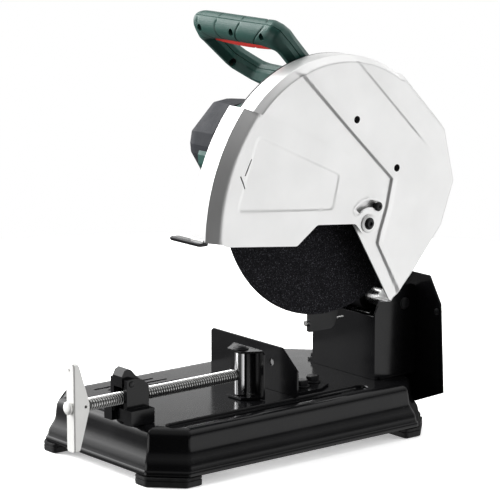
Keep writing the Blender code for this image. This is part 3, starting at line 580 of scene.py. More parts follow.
def make_base():
    shell = piece("pressed_base", loft([base_outline(inset, z) for z, inset in SKIRT]), GLOSS_BLACK, "stand",
                  replaces="base_shell")
    inside = [base_outline(SHEET, 5.0)] + [base_outline(inset + SHEET, z) for z, inset in SKIRT[5:-6]]
    inside.append(base_outline(17.0 + SHEET, TABLE - SHEET))
    combine(shell, loft(inside))
    combine(shell, upward(channel_outline(1.6), CHANNEL_FLOOR - SHEET, TABLE - 1.0), "UNION")
    levels = ((CHANNEL_FLOOR, -1.6), (CHANNEL_FLOOR + 1.0, -0.4), (TABLE - 1.6, 0.0), (TABLE - 0.5, 0.5),
              (TABLE + 0.2, 1.8))
    combine(shell, loft([[(x, y, z) for x, y in channel_outline(grow)] for z, grow in levels]))
    combine(shell, upward(round_ended(SLOT_X, SLOT_Y), CHANNEL_FLOOR - 10.0, TABLE))
    holes = [upward(circle(place, 5.4), TABLE - 8.0, TABLE + 4.0) for place in (FENCE_PIVOT, FENCE_CLAMP)]
    combine(shell, joined(*holes))
    ribs = []
    for row, x in enumerate((-112.0, -98.0, -84.0)):
        outline = round_ended((x, x + 5.0), (-196.0 + 14.0 * row, -92.0 + 14.0 * row), 6)
        ribs.append(stacked(outline, ((TABLE - 0.6, 0.0), (TABLE + 0.3, 0.0), (TABLE + 0.9, 0.7)), "Z"))
    combine(shell, joined(*ribs), "UNION")
    even_normals(shell)

    names = ("front_right", "front_left", "rear_right", "rear_left")
    for name, (sx, end) in zip(names, ((1, BASE_FRONT), (-1, BASE_FRONT), (1, BASE_REAR), (-1, BASE_REAR))):
        sy = 1 if end == BASE_FRONT else -1
        pad = rounded([(92.0, -2.0), (118.0, -2.0), (158.2, 38.0), (158.2, 66.0), (92.0, 66.0)], 7.0, 4)
        pad = [(sx * x, end + sy * y) for x, y in pad]
        levels = ((0.0, 2.2), (0.5, 1.0), (1.6, 0.2), (3.0, 0.0), (8.4, 0.0), (9.0, 1.4), (9.8, 1.4), (10.4, 0.1),
                  (13.2, 0.1), (13.7, 0.8))
        piece("rubber_foot_" + name, stacked(pad, levels, "Z"), RUBBER, "stand", replaces="foot_" + name, even=True)


# ------------------------------------------------------------------ fence and vise

def make_fence():
    keep("fence", GLOSS_BLACK, 0.7, 3)
    top = TABLE + 3.6
    for name, place in (("pivot", FENCE_PIVOT), ("clamp", FENCE_CLAMP)):
        head = hexagon_bolt(top, 7.4, 8.3, place, "Z", 2.2, 11.5)
        stem = rod(TABLE - 12.0, top, 4.9, place, "Z")
        piece(f"fence_{name}_hexagon", joined(head, stem), SATIN_BLACK, "stand",
              replaces=f"fence_{name}_bolt", bevel=0.3, even=True)


def threaded_bar(y0, y1, centre, around=36, per_turn=8):
    """A screw thread as one skin: the radius follows a trapezoid that winds along Y."""
    rings = []
    count = int((y1 - y0) / PITCH * per_turn)
    for level in range(count + 1):
        y = y0 + (y1 - y0) * level / count
        ease = min(1.0, (y - y0) / PITCH, (y1 - y) / PITCH)
        ring = []
        for i in range(around):
            phase = (y / PITCH + i / around) % 1.0
            height = min(1.0, max(0.0, abs(phase - 0.5) * 5.0 - 0.75))
            reach = SCREW_R - THREAD_DEPTH * (height + (1.0 - height) * (1.0 - ease))
            ring.append(about("Y", centre, y, reach, 2.0 * math.pi * i / around))
        rings.append(ring)
    return loft(rings)


def make_vise():
    x, z = VISE_X, VISE_Z
    for node in ("vise_body", "half_nut_lever"):
        keep(node, GLOSS_BLACK, 1.6, 3)
    pin = [(x - 21.0, 5.0), (x - 20.2, 6.0), (x - 18.8, 6.0), (x - 18.8, 3.8), (x + 19.2, 3.8),
           (x + 19.5, 3.2)]
    piece("half_nut_axle", turned(pin, LEVER_PIVOT), SATIN_BLACK, "stand", replaces="half_nut_pin")
    front, tip = SCREW_FRONT, JAW_PIN_Y - 8.8
    neck = turned([(front + 10.0, 6.2), (front + 10.6, 6.8), (front + 27.0, 6.8), (front + 28.0, 0.0)], (x, z), "Y",
                  36)
    thread = threaded_bar(front + 26.6, tip - 2.0, (x, z))
    end = turned([(tip - 3.0, 7.3), (tip - 0.6, 7.3), (tip, 6.6)], (x, z), "Y", 36)
    piece("vise_threaded_bar", joined(neck, thread, end), THREAD, "screw", replaces="vise_screw")

    web, radius, thick = 9.3, 2.4, 2.0
    rows = []
    for level, deep, tuck in ((49.0, 7.0, 2.4), (49.8, 8.2, 0.9), (51.5, 9.2, 0.0), (80.0, 17.6, 0.0),
                              (103.5, 24.4, 0.0), (106.5, 25.0, 0.0), (112.5, 25.0, 0.0), (115.5, 24.2, 0.0),
                              (140.0, 17.0, 0.0), (164.0, 9.4, 0.0), (167.6, 8.2, 0.7), (169.4, 7.0, 2.4),
                              (170.0, 5.6, 4.6)):
        half = web - tuck
        outer = [(-half, deep)] + arc((-half + radius, radius), radius, 180.0, 270.0, 4)
        outer += arc((half - radius, radius), radius, 270.0, 360.0, 4) + [(half, deep)]
        inner = [(half - thick, deep)] + arc((half - radius, radius), radius - thick, 360.0, 270.0, 4)
        inner += arc((-half + radius, radius), radius - thick, 270.0, 180.0, 4) + [(-half + thick, deep)]
        rows.append([(x + a, front + b, level) for a, b in outer + inner])
    handle = piece("vise_folded_handle", loft(rows), HANDLE_STEEL, "screw", replaces="vise_handle")
    holes = [along(circle((x - 1.0, 160.0), 2.0), front - 5.0, front + 5.0)]
    holes += [across(circle((front + 19.0, z), 2.2), x + web - 4.0, x + web + 4.0)]
    combine(handle, joined(*holes))
    round_edges(handle, 0.35)
    even_normals(handle)
    knob = [(front - 7.0, 4.6), (front - 6.4, 7.0), (front - 5.2, 8.6), (front - 3.6, 9.0),
            (front - 2.2, 8.4), (front - 1.8, 6.4), (front - 0.4, 6.4), (front - 0.4, 7.6), (front - 0.1, 7.6),
            (front - 0.1, 5.0), (front + 9.7, 5.0)]
    piece("vise_handle_knob", turned(knob, (x, z), "Y", 48), HANDLE_STEEL, "screw", replaces="vise_handle_rivet")

    pin_at = (x, JAW_PIN_Y)
    keep("jaw", GLOSS_BLACK, 0.8, 3)
    piece("jaw_round_pin", rod(80.6, 142.4, 8.5, pin_at, "Z", 48, 1.2), GROUND_PIN, "jaw_carriage",
          replaces="jaw_pin")
    washer = turned([(146.1, 11.0), (147.2, 11.0), (147.7, 10.4)], pin_at, "Z", 48)
    button = turned([(147.7, 8.2), (148.6, 8.2), (149.8, 6.8), (150.5, 4.4)], pin_at, "Z", 48)
    piece("jaw_pin_button", joined(washer, button), SATIN_BLACK, "jaw_carriage", replaces="jaw_pin_cap")


# ------------------------------------------------------------------ stand: bracket and its hardware

def make_bracket():
    keep("pivot_bracket", GLOSS_BLACK, 1.0, 3)
    keep("spark_plate", GLOSS_BLACK, 0.8, 3)
    keep("pivot_spacer", TURNED_X, 0.6, 2)
    left, right = BRACKET_X
    shaft = rod(left - 4.0, right + 2.6, 7.9, HEAD_PIVOT, "X", 40)
    head = hexagon_bolt(left - 0.6, -8.0, 10.5, HEAD_PIVOT, "X")
    socket = turned([(right + 0.2, 9.0), (right + 0.8, 8.8), (right + 0.8, 5.6),
                     (right + 2.4, 5.4), (right + 3.0, 4.6)], HEAD_PIVOT, "X", 40)
    piece("pivot_bolt", joined(shaft, head, socket), SATIN_BLACK, "stand", replaces="pivot_shaft",
          bevel=0.3)
    keep("return_spring", SATIN_BLACK, 0.0)
    for number, y in enumerate((162.0, 194.0)):
        bolt = hexagon_bolt(TABLE + 3.4, 5.6, 6.5, (-50.0, y), "Z", 1.4, 8.5)
        piece(f"bracket_flange_bolt_{number}", bolt, SATIN_BLACK, "stand", bevel=0.25)
    for number, x in enumerate((-80.0, 20.0, 140.0)):
        screw = turned([(226.5, 5.2), (227.6, 5.2), (229.2, 3.6), (229.8, 0.0)], (x, 60.0), "Y", 32)
        piece(f"spark_plate_screw_{number}", screw, ZINC, "stand")
    plug = turned([(222.6, 4.8), (223.9, 4.8), (223.9, 3.4), (227.4, 3.4), (227.4, 5.4), (228.6, 5.2),
                   (229.4, 3.4)], (144.0, 173.0), "Y", 32)
    piece("spark_plate_bolt", plug, SATIN_BLACK, "stand")
    bar = rod(left - 12.0, 26.0, 3.9, LOCK_PIN, "X", 32, 1.4)
    grip = turned([(left - 24.0, 7.0), (left - 22.0, 9.0), (left - 20.0, 8.2), (left - 18.0, 9.0),
                   (left - 16.0, 8.2), (left - 14.0, 9.0), (left - 12.2, 7.4)], LOCK_PIN, "X", 40)
    piece("lock_pin_bar", bar, ZINC, "lock_pin", replaces="lock_pin")
    piece("lock_pin_grip", grip, DARK_PLASTIC, "lock_pin")


# ------------------------------------------------------------------ drive

def make_drive():
    keep("swing_arm", SATIN_BLACK, 1.4, 3)
    keep("gear_case", CAST, 1.6, 3)
    turned_parts = ("rear_bearing", "front_bearing", "spindle_bearing", "spindle", "inner_flange", "outer_flange")
    plastic_parts = ("trigger_switch", "brush_cap_front", "brush_cap_rear", "spindle_lock_button", "cable_gland")
    for nodes, material, bevel in (
        (turned_parts, TURNED_X, 0.4), (("ring_gear", "pinion"), TURNED_X, 0.0), (plastic_parts, DARK_PLASTIC, 0.8),
        (("cooling_fan",), DARK_PLASTIC, 0.3), (("stator",), COPPER, 0.8), (("motor_rotor",), COPPER, 0.4),
        (("gear_cover",), CAST, 0.8), (("stop_bolt",), ZINC, 0.25), (("wheel_bolt",), SATIN_BLACK, 0.4),
    ):
        for node in nodes:
            keep(node, material, bevel)

    body = [(-78.0, 60.5), (50.2, 60.5), (50.2, 64.0), (49.2, 65.0), (42.0, 65.0), (41.0, 63.6), (-30.0, 63.0),
            (-31.0, 64.2), (-76.0, 65.0), (-78.0, 64.4)]
    shapes = [turned(body, MOTOR, "X", 72, bored=True)]
    for number in range(10):
        turn = math.radians(36.0 * number + 18.0)
        way, side = Vector((math.cos(turn), math.sin(turn))), Vector((-math.sin(turn), math.cos(turn)))
        rib = [Vector(MOTOR) + way * up + side * over
               for up, over in ((60.8, 2.6), (65.0, 1.6), (65.0, -1.6), (60.8, -2.6))]
        shapes.append(across([tuple(point) for point in rib], -29.0, 40.0))
    piece("ribbed_motor_housing", joined(*shapes), GREEN, "head", replaces="motor_housing", bevel=0.5, even=True)

    half = [(14.0, 356.0), (-8.0, 391.0), (-9.5, 405.0), (-6.0, 424.0), (34.0, 462.0), (58.0, 464.9)]
    outline = half + [(2.0 * MOTOR[0] - y, z) for y, z in reversed(half[:-1])]
    outline += [(82.0, 339.0), (34.0, 339.0)]
    levels = ((-78.2, 1.0, 3.0), (-79.2, 0.0, 3.5), (-116.0, 0.0, 3.5), (-128.0, 1.6, 3.0), (-132.6, 4.2, 2.5),
              (-134.0, 7.0, 2.0))
    shell = piece("faceted_end_cap", stacked(outline, levels), DARK_PLASTIC, "head",
                  replaces="motor_end_cap", smooth=24.0)
    combine(shell, across(offset(outline, 4.0), -70.0, -118.0))
    slots = []
    for row in range(-4, 5):
        rise = 9.5 * row
        z = MOTOR[1] + rise
        reach = math.sqrt(47.0 ** 2 - rise ** 2)
        slot = round_ended((z - 2.0, z + 2.0), (MOTOR[0] - reach, MOTOR[0] + reach), 5)
        slots.append(across([(b, a) for a, b in slot], -140.0, -110.0))
    combine(shell, joined(*slots))
    round_edges(shell, 0.5)
    even_normals(shell)
    # A near-black disc inside the end cap, behind its slots: painted shade standing for the dark inside of the
    # motor.
    shade_disc = across(circle(MOTOR, 52.0, 48), -117.6, -116.6)
    piece("end_cap_painted_shade_disc", shade_disc, BLACK_SCREWS_AND_PAINTED_SHADE, "head")
    tongue = [(-9.4, 398.0), (-12.0, 392.0), (-11.0, 379.0), (-2.0, 364.0), (12.0, 350.0), (20.0, 356.0),
              (4.0, 398.0)]
    levels = ((-108.0, 1.6, 2.0), (-106.4, 0.2, 2.0), (-76.0, 0.0, 2.0), (-70.0, 0.6, 2.0))
    piece("motor_housing_lip", stacked(tongue, levels), GREEN, "head", even=True)


def make_wheel():
    near, far = WHEEL_X - WHEEL_HALF, WHEEL_X + WHEEL_HALF
    profile = [(near, 14.0), (near, 60.0), (near, 120.0), (near, WHEEL_R - 0.6), (near + 0.6, WHEEL_R),
               (far - 0.6, WHEEL_R), (far, WHEEL_R - 0.6), (far, 120.0), (far, 60.0), (far, 14.0)]
    piece("abrasive_disc", turned(profile, SPINDLE, "X", 160, bored=True), ABRASIVE, "spindle",
          replaces="cutting_wheel")
    ring = [(near, 12.8), (far, 12.8), (far, 13.9), (near, 13.9)]
    piece("disc_bore_ring", turned(ring, SPINDLE, bored=True), TURNED_X, "spindle")


# ------------------------------------------------------------------ guards

def distance_to(points, line):
    """The distance of each (y, z) point to a line of straight runs."""
    nearest = np.full(len(points), 1e9)
    for a, b in zip(line, line[1:]):
        a, b = np.array(a), np.array(b)
        run = b - a
        share = np.clip(((points - a) @ run) / max(run @ run, 1e-9), 0.0, 1.0)
        nearest = np.minimum(nearest, np.linalg.norm(points - a - share[:, None] * run, axis=1))
    return nearest


def inside(points, outline):
    """Which of the (y, z) points lie inside a closed outline."""
    result = np.zeros(len(points), bool)
    y, z = points[:, 0], points[:, 1]
    for (y0, z0), (y1, z1) in zip(outline, outline[1:] + outline[:1]):
        crosses = (z0 > z) != (z1 > z)
        if z1 != z0:
            result ^= crosses & (y < (y1 - y0) * (z - z0) / (z1 - z0) + y0)
    return result


def step_over(points, outline, line, width):
    """0 outside the outline and 1 inside it, turning smoothly over width at the line between them."""
    signed = np.where(inside(points, outline), 1.0, -1.0) * distance_to(points, line)
    share = np.clip(0.5 + signed / width, 0.0, 1.0)
    return share * share * (3.0 - 2.0 * share)


def pressed_pan(name, rim, lower, centre, wall_x, height, thickness, body, replaces):
    """A pressed pan, seen from its side. The rim turns down to wall_x, and the lower edge is left open.

    height(points, edge) gives X over (y, z) points, where edge is their distance to the rim.
    """
    ring = np.array(rim + lower)
    count = len(ring)
    middle = np.array(centre)
    away = ring - middle
    reach = np.linalg.norm(away, axis=1)
    rows = []
    for inset in INSETS[:-1]:
        if inset < RIM_BAND:
            share = 1.0 - np.minimum(inset / reach, 1.0)
        else:
            share = (1.0 - RIM_BAND / reach) * (1.0 - (inset - RIM_BAND) / (INSETS[-1] - RIM_BAND))
        rows.append(middle + away * share[:, None])
    flat = np.concatenate(rows + [middle[None, :]])
    points = [(x, *place) for x, place in zip(height(flat, distance_to(flat, rim)), flat)]
    faces = []
    for row in range(len(rows) - 1):
        a, b = row * count, (row + 1) * count
        faces += [(a + i, a + (i + 1) % count, b + (i + 1) % count, b + i) for i in range(count)]
    last, tip = (len(rows) - 1) * count, len(points) - 1
    faces += [(last + i, last + (i + 1) % count, tip) for i in range(count)]
    above = 0
    for x in wall_x:
        first = len(points)
        points += [(x, y, z) for y, z in rim]
        faces += [(above + i, above + i + 1, first + i + 1, first + i) for i in range(len(rim) - 1)]
        above = first
    made = piece(name, (points, faces), GUARD_WHITE, body, replaces=replaces, smooth=50.0)
    if sum(p.normal.x * p.area for p in made.data.polygons) < 0.0:
        made.data.flip_normals()
    sheet = made.modifiers.new("sheet", "SOLIDIFY")
    sheet.thickness = thickness * MM
    sheet.offset = -1.0
    sheet.use_rim = True
    flatten(made)
    return made


def soft_min(a, b, blend):
    """The lower of two heights, rounded over blend where they meet."""
    h = np.clip(0.5 + 0.5 * (b - a) / blend, 0.0, 1.0)
    return b * (1.0 - h) + a * h - blend * h * (1.0 - h)


# The rows of a pan's surface, by their distance in from its outline. Beyond RIM_BAND they shrink to the centre.
RIM_BAND = 20.0
INSETS = [0.0, 0.6, 1.4, 2.6, 4.0, 5.6, 7.2, 8.8, 10.2, 11.6, 13.2, 15.0, 17.5]
INSETS += [RIM_BAND + 1.8 * i for i in range(100)]

# X of the fixed guard's side and of its rim, and how steeply the bevel between them rises.
FIXED_SIDE, FIXED_RIM, FIXED_SLOPE = 144.3, 134.2, 1.25
BACK_SHEET_X = (102.8, 105.7)
RIDGE_1 = [(-58.0, 561.0), (-47.0, 549.0), (-25.0, 532.0), (53.0, 454.0), (133.0, 376.0), (124.0, 337.0),
           (111.0, 302.0), (107.0, 287.0), (146.0, 217.0)]
RIDGE_2 = [(26.0, 590.0), (77.0, 537.0), (202.0, 412.0)]


def ridge(points, ahead, line, step, crown, run):
    """A pressed ridge: a short steep step at the line, then a crown that falls slowly over run on its rear side."""
    signed = np.where(inside(points, ahead), -1.0, 1.0) * distance_to(points, line)
    rise = np.clip(0.5 + signed / 2.6, 0.0, 1.0)
    return rise * (step + crown * np.clip(1.0 - signed / run, 0.0, 1.0))


def fixed_guard_height(points, edge):
    """The side of the fixed guard steps outwards twice from front to back, at its two pressed ridges."""
    front = RIDGE_1 + [(150.0, 100.0), (-400.0, 100.0), (-400.0, 700.0), (-70.0, 700.0)]
    middle = RIDGE_2 + [(225.0, 390.0), (225.0, 100.0), (-400.0, 100.0), (-400.0, 700.0), (30.0, 700.0)]
    raised = ridge(points, front, RIDGE_1, 2.0, 1.1, 11.0)
    raised += ridge(points, middle, RIDGE_2, 0.9, 0.8, 9.0) * np.clip((points[:, 1] - 402.0) / 40.0, 0.0, 1.0)
    side = soft_min(np.full(len(points), FIXED_SIDE), FIXED_RIM + edge * FIXED_SLOPE, 1.2)
    return side + raised * np.clip(edge / 7.0, 0.0, 1.0)


def fixed_guard_outline(end_corner):
    """The fixed guard seen from its side, with the corner radius at the two ends of its rim."""
    outline = arc(GUARD_CENTRE, GUARD_R, *GUARD_ARC, 60) + list(GUARD_BACK) + list(GUARD_LOWER)
    corners = [0.0] * 61 + [14.0, 14.0, 10.0, 12.0, 10.0, end_corner, 3.0, 6.0, end_corner]
    return rounded(outline, corners)


def make_fixed_guard():
    outline = fixed_guard_outline(0.0)
    split = outline.index(min(outline, key=lambda p: math.dist(p, GUARD_BACK[-1])))
    rim = resampled(outline[:split + 1], 3.4)
    lower = resampled(outline[split:], 3.4)[1:]
    guard = pressed_pan("pressed_fixed_guard", rim, lower, (92.0, 372.0), (131.0, 120.0, 106.2),
                        height=fixed_guard_height, thickness=2.0, body="head", replaces="fixed_guard")
    even_normals(guard)
    plate = piece("guard_backing_sheet", across(fixed_guard_outline(4.0), *BACK_SHEET_X), SATIN_BLACK, "head",
                  replaces="guard_back_plate")
    tail = [(60.0, 300.0), (150.0, 292.0), (225.0, 262.0), (225.0, 150.0), (60.0, 150.0)]
    combine(plate, joined(across(circle(SPINDLE, 34.0, 48), 95.0, 112.0), across(tail, 95.0, 112.0)))
    round_edges(plate, 0.5)
    even_normals(plate)
    level = FIXED_SIDE + 2.0
    for number, place in enumerate(GUARD_SCREWS):
        button = [(level - 1.2, 5.2), (level, 5.2), (level + 0.6, 4.6), (level + 1.0, 3.0),
                  (level + 1.1, 0.0)]
        piece(f"guard_button_screw_{number}", turned(button, place, "X", 32), BLACK_SCREWS_AND_PAINTED_SHADE, "head")


FRONT_SIDE, FRONT_RIM, FRONT_SLOPE = 151.0, 137.4, 0.88
FRONT_PANEL = [(-110.0, 460.0), (33.0, 393.0), (21.0, 346.0), (-145.0, 363.0)]
FRONT_SLITS = (((-121.0, 431.0), (-132.0, 410.0)), ((-140.0, 410.0), (-132.0, 392.0)))
# The stop bolt's slot in the front guard is an arc about the guard's pivot.
STOP_REACH = math.dist(GUARD_PIVOT, GUARD_STOP)
STOP_TURN = math.degrees(math.atan2(GUARD_STOP[1] - GUARD_PIVOT[1], GUARD_STOP[0] - GUARD_PIVOT[0]))


def front_guard_height(points, edge):
    x = np.full(len(points), FRONT_SIDE)
    panel = rounded(FRONT_PANEL, 7.0, 4)
    x -= 0.9 * step_over(points, panel, panel + panel[:1], 4.4)
    lip = arc(GUARD_PIVOT, STOP_REACH, STOP_TURN - 6.0, STOP_TURN + 81.0, 12)
    x += 0.6 * np.exp(-(((distance_to(points, lip) - 7.4) / 1.6) ** 2))
    return soft_min(x, FRONT_RIM + edge * FRONT_SLOPE, 1.4)


def make_front_guard():
    rim = arc(GUARD_PIVOT, FRONT_R, *FRONT_ARC, 72)
    lower = rounded([rim[-1], (52.0, 418.0), (85.0, 402.0), (116.0, 380.0), (119.5, 362.0), (116.0, 340.0),
                     (104.0, 309.0), (88.0, 303.0), (74.0, 307.0), (63.0, 321.0), (-6.0, 328.0), (-42.0, 303.0),
                     (-162.0, 317.0), (-172.0, 321.5), rim[0]],
                    [0.0, 3.0, 8.0, 10.0, 8.0, 10.0, 6.0, 6.0, 8.0, 10.0, 8.0, 8.0, 5.0, 3.0, 0.0], 5)
    lower = resampled(lower, 4.0)[1:-1]
    guard = pressed_pan("pressed_front_guard", rim, lower, (20.0, 380.0), (134.0, 122.0, 106.2),
                        height=front_guard_height, thickness=1.4, body="front_guard", replaces="front_guard")
    slot = arc(GUARD_PIVOT, STOP_REACH + 5.2, STOP_TURN - 9.0, STOP_TURN + 84.0, 24)
    slot += arc(GUARD_PIVOT, STOP_REACH - 5.2, STOP_TURN + 84.0, STOP_TURN - 9.0, 24)
    cuts = [slot, circle(GUARD_PIVOT, 5.3)]
    for number, ends in enumerate(FRONT_SLITS):
        a, b = (Vector(end) for end in ends)
        side = Vector((a.y - b.y, b.x - a.x)).normalized() * 0.9
        slit = [tuple(a + side), tuple(a - side), tuple(b - side), tuple(b + side)]
        cuts.append(slit)
        # A near-black strip behind each slit, where the cut shows through: painted shade standing for the dark gap
        # under the guard.
        slit_shade = across(offset(slit, -0.8), 148.3, 149.4)
        piece(f"guard_slit_liner_{number}", slit_shade, BLACK_SCREWS_AND_PAINTED_SHADE, "front_guard", bevel=0.2)
    combine(guard, joined(*(across(outline, 144.0, 160.0) for outline in cuts)))
    even_normals(guard)

    bar = [(-199.0, 319.2), (-184.0, 319.2), (-184.0, 325.0), (-199.0, 325.0)]
    levels = [(x, inset, 2.2) for x, inset in ((71.0, 2.4), (71.6, 1.0), (73.2, 0.3), (76.0, 0.0), (134.0, 0.0),
                                               (137.4, 0.4), (138.0, 1.2))]
    piece("guard_lift_bar", stacked(bar, levels, steps=4), GLOSS_BLACK, "front_guard", replaces="lift_bar",
          even=True)
    flange = [(107.0, -190.0), (134.0, -190.0), (134.0, -186.0), (107.0, -186.0)]
    piece("lift_bar_flange", upward(flange, 323.0, 327.0), GUARD_WHITE, "front_guard", bevel=0.6, even=True)

    hub = [(151.2, 13.0), (152.2, 13.0), (152.8, 12.2)]
    socket = [(152.8, 8.4), (153.4, 8.4), (153.4, 6.6), (155.6, 6.4), (156.5, 5.4), (156.5, 3.0),
              (154.0, 2.8)]
    piece("guard_hub_washer", turned(hub, GUARD_PIVOT, "X", 48), GUARD_WHITE, "head")
    pivot = joined(turned(socket, GUARD_PIVOT, "X", 48), rod(140.0, 152.8, 5.0, GUARD_PIVOT, "X", 32))
    piece("guard_hub_bolt", pivot, SATIN_BLACK, "head", replaces="guard_pivot_bolt")
    stop = [(152.0, 6.5), (153.4, 6.5), (154.6, 5.2), (155.0, 3.4), (155.0, 2.4), (153.4, 2.2)]
    stop = joined(turned(stop, GUARD_STOP, "X", 36), rod(140.0, 152.2, 4.0, GUARD_STOP, "X", 24))
    piece("guard_stop_button", stop, SATIN_BLACK, "head", replaces="guard_stop_bolt")


# ------------------------------------------------------------------ D handle

HANDLE_OUTER = [(-78.0, -18.4), (90.0, -18.4), (101.0, -9.0), (101.0, 20.0), (97.0, 70.0), (70.0, 112.0),
                (56.0, 138.0), (4.0, 138.0), (-29.0, 115.0), (-74.0, 80.0), (-88.0, 12.0), (-86.0, -9.0)]
HANDLE_OPENING = [(-66.0, 18.4), (76.0, 18.4), (76.0, 60.0), (50.0, 90.0), (-32.0, 90.0), (-59.0, 64.0)]
HANDLE_MIDDLE = (6.0, 48.0)
GRIP_R, ARM_HALF, ARM_CHAMFER, SEAM = 18.4, 16.0, 8.9, 0.8
# The section is round below GRIP_TOP and within GRIP_REACH of the middle, and turns faceted over GRIP_FADE.
GRIP_TOP, GRIP_REACH, GRIP_FADE = 22.0, 90.0, 12.0
GRIP_GROOVES = (-64.0, -51.0, -20.0, 17.0, 55.0)
HANDLE_RINGS = 520
HANDLE_SCREWS = ((-62.0, -9.0), (8.0, -9.0), (74.0, -9.0), (-60.0, 69.0))
TRIGGER_ENDS, TRIGGER_NOTCH = (-64.0, 74.0), 22.0


def handle_point(x, t, n):
    """A point of the handle from x, t along its arms and n out of its face."""
    return tuple(GRIP + Vector((x, 0.0, 0.0)) + ARM_WAY * t + FACE_WAY * n)


def crossing(outline, angle):
    """Where a ray from the middle of the handle, at an angle in radians, leaves an outline."""
    origin, way = Vector(HANDLE_MIDDLE), Vector((math.cos(angle), math.sin(angle)))
    best = None
    for a, b in zip(outline, outline[1:] + outline[:1]):
        a, run = Vector(a) - origin, Vector(b) - Vector(a)
        cross = way.x * run.y - way.y * run.x
        if abs(cross) < 1e-9:
            continue
        along_ray = (a.x * run.y - a.y * run.x) / cross
        along_run = (a.x * way.y - a.y * way.x) / cross
        if along_ray > 0.0 and -1e-6 <= along_run <= 1.0 + 1e-6 and (best is None or along_ray > best):
            best = along_ray
    return origin + way * best


def handle_ring(outer, inner, side):
    """Half of the section between an outer and an inner point: round at the grip, faceted at the arms."""
    middle, half = (outer + inner) / 2.0, (outer - inner) / 2.0
    reach = half.length
    grip = 1.0
    for room in (GRIP_TOP - middle.y, GRIP_REACH - abs(middle.x - HANDLE_MIDDLE[0])):
        grip *= min(1.0, max(0.0, room / GRIP_FADE))
    flat = reach - min(ARM_CHAMFER, 0.7 * reach)
    corners = [(reach, 0.0), (reach, ARM_HALF - ARM_CHAMFER), (flat, ARM_HALF), (-flat, ARM_HALF),
               (-reach, ARM_HALF - ARM_CHAMFER), (-reach, 0.0)]
    section = []
    for (u0, v0), (u1, v1) in zip(corners, corners[1:]):
        section += [(u0 + (u1 - u0) * k / 5, v0 + (v1 - v0) * k / 5) for k in range(5)]
    section.append(corners[-1])
    ring = []
    for i, (u, v) in enumerate(section):
        turn = math.pi * i / (len(section) - 1)
        round_u, round_v = reach * math.cos(turn), GRIP_R * math.sin(turn)
        groove = max(0.0, 1.0 - min(abs(middle.x - x - 2.6 * math.cos(2.0 * turn)) for x in GRIP_GROOVES) / 1.5)
        dip = 1.0 - 0.075 * groove if 0.25 < turn < 2.2 else 1.0
        u = u * (1.0 - grip) + round_u * dip * grip
        v = v * (1.0 - grip) + round_v * dip * grip
        ring.append((u, v))
    first, last = ring[0][0], ring[-1][0]
    ring = [(first - SEAM, 0.15), (first, SEAM)] + ring[1:-1] + [(last, SEAM), (last + SEAM, 0.15)]
    way = half.normalized()
    return [handle_point(middle.x + way.x * u, middle.y + way.y * u, side * v) for u, v in ring]


def make_handle():
    outer = rounded(HANDLE_OUTER, [9.0, 9.0, 8.0, 10.0, 12.0, 8.0, 3.0, 3.0, 8.0, 10.0, 10.0, 9.0], 5)
    inner = rounded(HANDLE_OPENING, [6.0, 6.0, 10.0, 10.0, 10.0, 10.0], 5)
    angles = [2.0 * math.pi * i / HANDLE_RINGS for i in range(HANDLE_RINGS)]
    pairs = [(crossing(outer, angle), crossing(inner, angle)) for angle in angles]
    pocket = [(-65.0, -2.0), (75.0, -2.0), (75.0, 26.0), (-65.0, 26.0)]
    for name, side in (("front", 1), ("back", -1)):
        rings = [handle_ring(a, b, side) for a, b in pairs]
        half = piece(f"handle_{name}_shell", loft(rings, closed=True), GREEN, "head",
                     replaces=f"handle_{name}_half", smooth=30.0)
        cuts = [loft([[handle_point(x, t, n) for x, t in pocket] for n in (-side * 1.0, side * 9.0)])]
        if side > 0:
            for number, place in enumerate(HANDLE_SCREWS):
                recess = circle(place, 4.8, 28)
                cuts.append(loft([[handle_point(a, b, n) for a, b in recess] for n in (7.0, 30.0)]))
                # Near-black screw heads at the bottom of their recesses: the dark of the screws together with
                # painted shade of the deep recess.
                screw = [[handle_point(a, b, n) for a, b in circle(place, radius, 24)] for n, radius in
                         ((7.2, 4.6), (8.6, 4.6), (9.2, 3.6), (9.2, 1.6), (8.0, 1.4))]
                piece(f"handle_screw_{number}", loft(screw), BLACK_SCREWS_AND_PAINTED_SHADE, "head")
        combine(half, joined(*cuts))
        even_normals(half)

    rows = []
    left, right = TRIGGER_ENDS
    for i in range(41):
        x = left + (right - left) * i / 40
        share = (2.0 * x - left - right) / (right - left)
        bulge = 31.5 - 5.0 * share * share - 2.4 * max(0.0, 1.0 - abs(x - TRIGGER_NOTCH) / 3.5)
        ends = min(1.0, (x - left) / 4.0 + 0.5, (right - x) / 4.0 + 0.5)
        low, high, half = 9.5, 9.5 + (bulge - 9.5) * ends, 8.4 * min(1.0, ends + 0.1)
        outline = rounded([(low, -half), (low, half), (high, half), (high, -half)], [0.5, 0.5, 3.4, 3.4], 4)
        rows.append([handle_point(x, t, n) for t, n in outline])
    piece("red_trigger", loft(rows), RED, "trigger", replaces="trigger", even=True)

    foot = [(138.2, -18.0), (138.2, 16.0), (150.0, 14.0), (165.0, 3.0), (190.0, 3.0), (190.0, -18.0)]
    foot = rounded(foot, [2.0, 4.0, 6.0, 8.0, 3.0, 3.0], 4)
    rings = []
    for x, inset in ((5.0, 2.2), (5.8, 0.8), (7.4, 0.0), (52.6, 0.0), (54.2, 0.8), (55.0, 2.2)):
        rings.append([handle_point(x, t, n) for t, n in offset(foot, inset)])
    piece("handle_foot", loft(rings), GREEN, "head", replaces="handle_bracket", even=True)


# ------------------------------------------------------------------ camera, light and floor

LENS = 199.09
CAMERA_PLACE = (2962.0, -2393.6, 1052.3)
CAMERA_BACK = (0.7622, -0.6154, 0.2007)
MACHINE_CENTRE = (0.0, -40.0, 260.0)
FLOOR_R, FLOOR_Z, FLOOR_GLOW = 1.5, -0.0004, 0.42
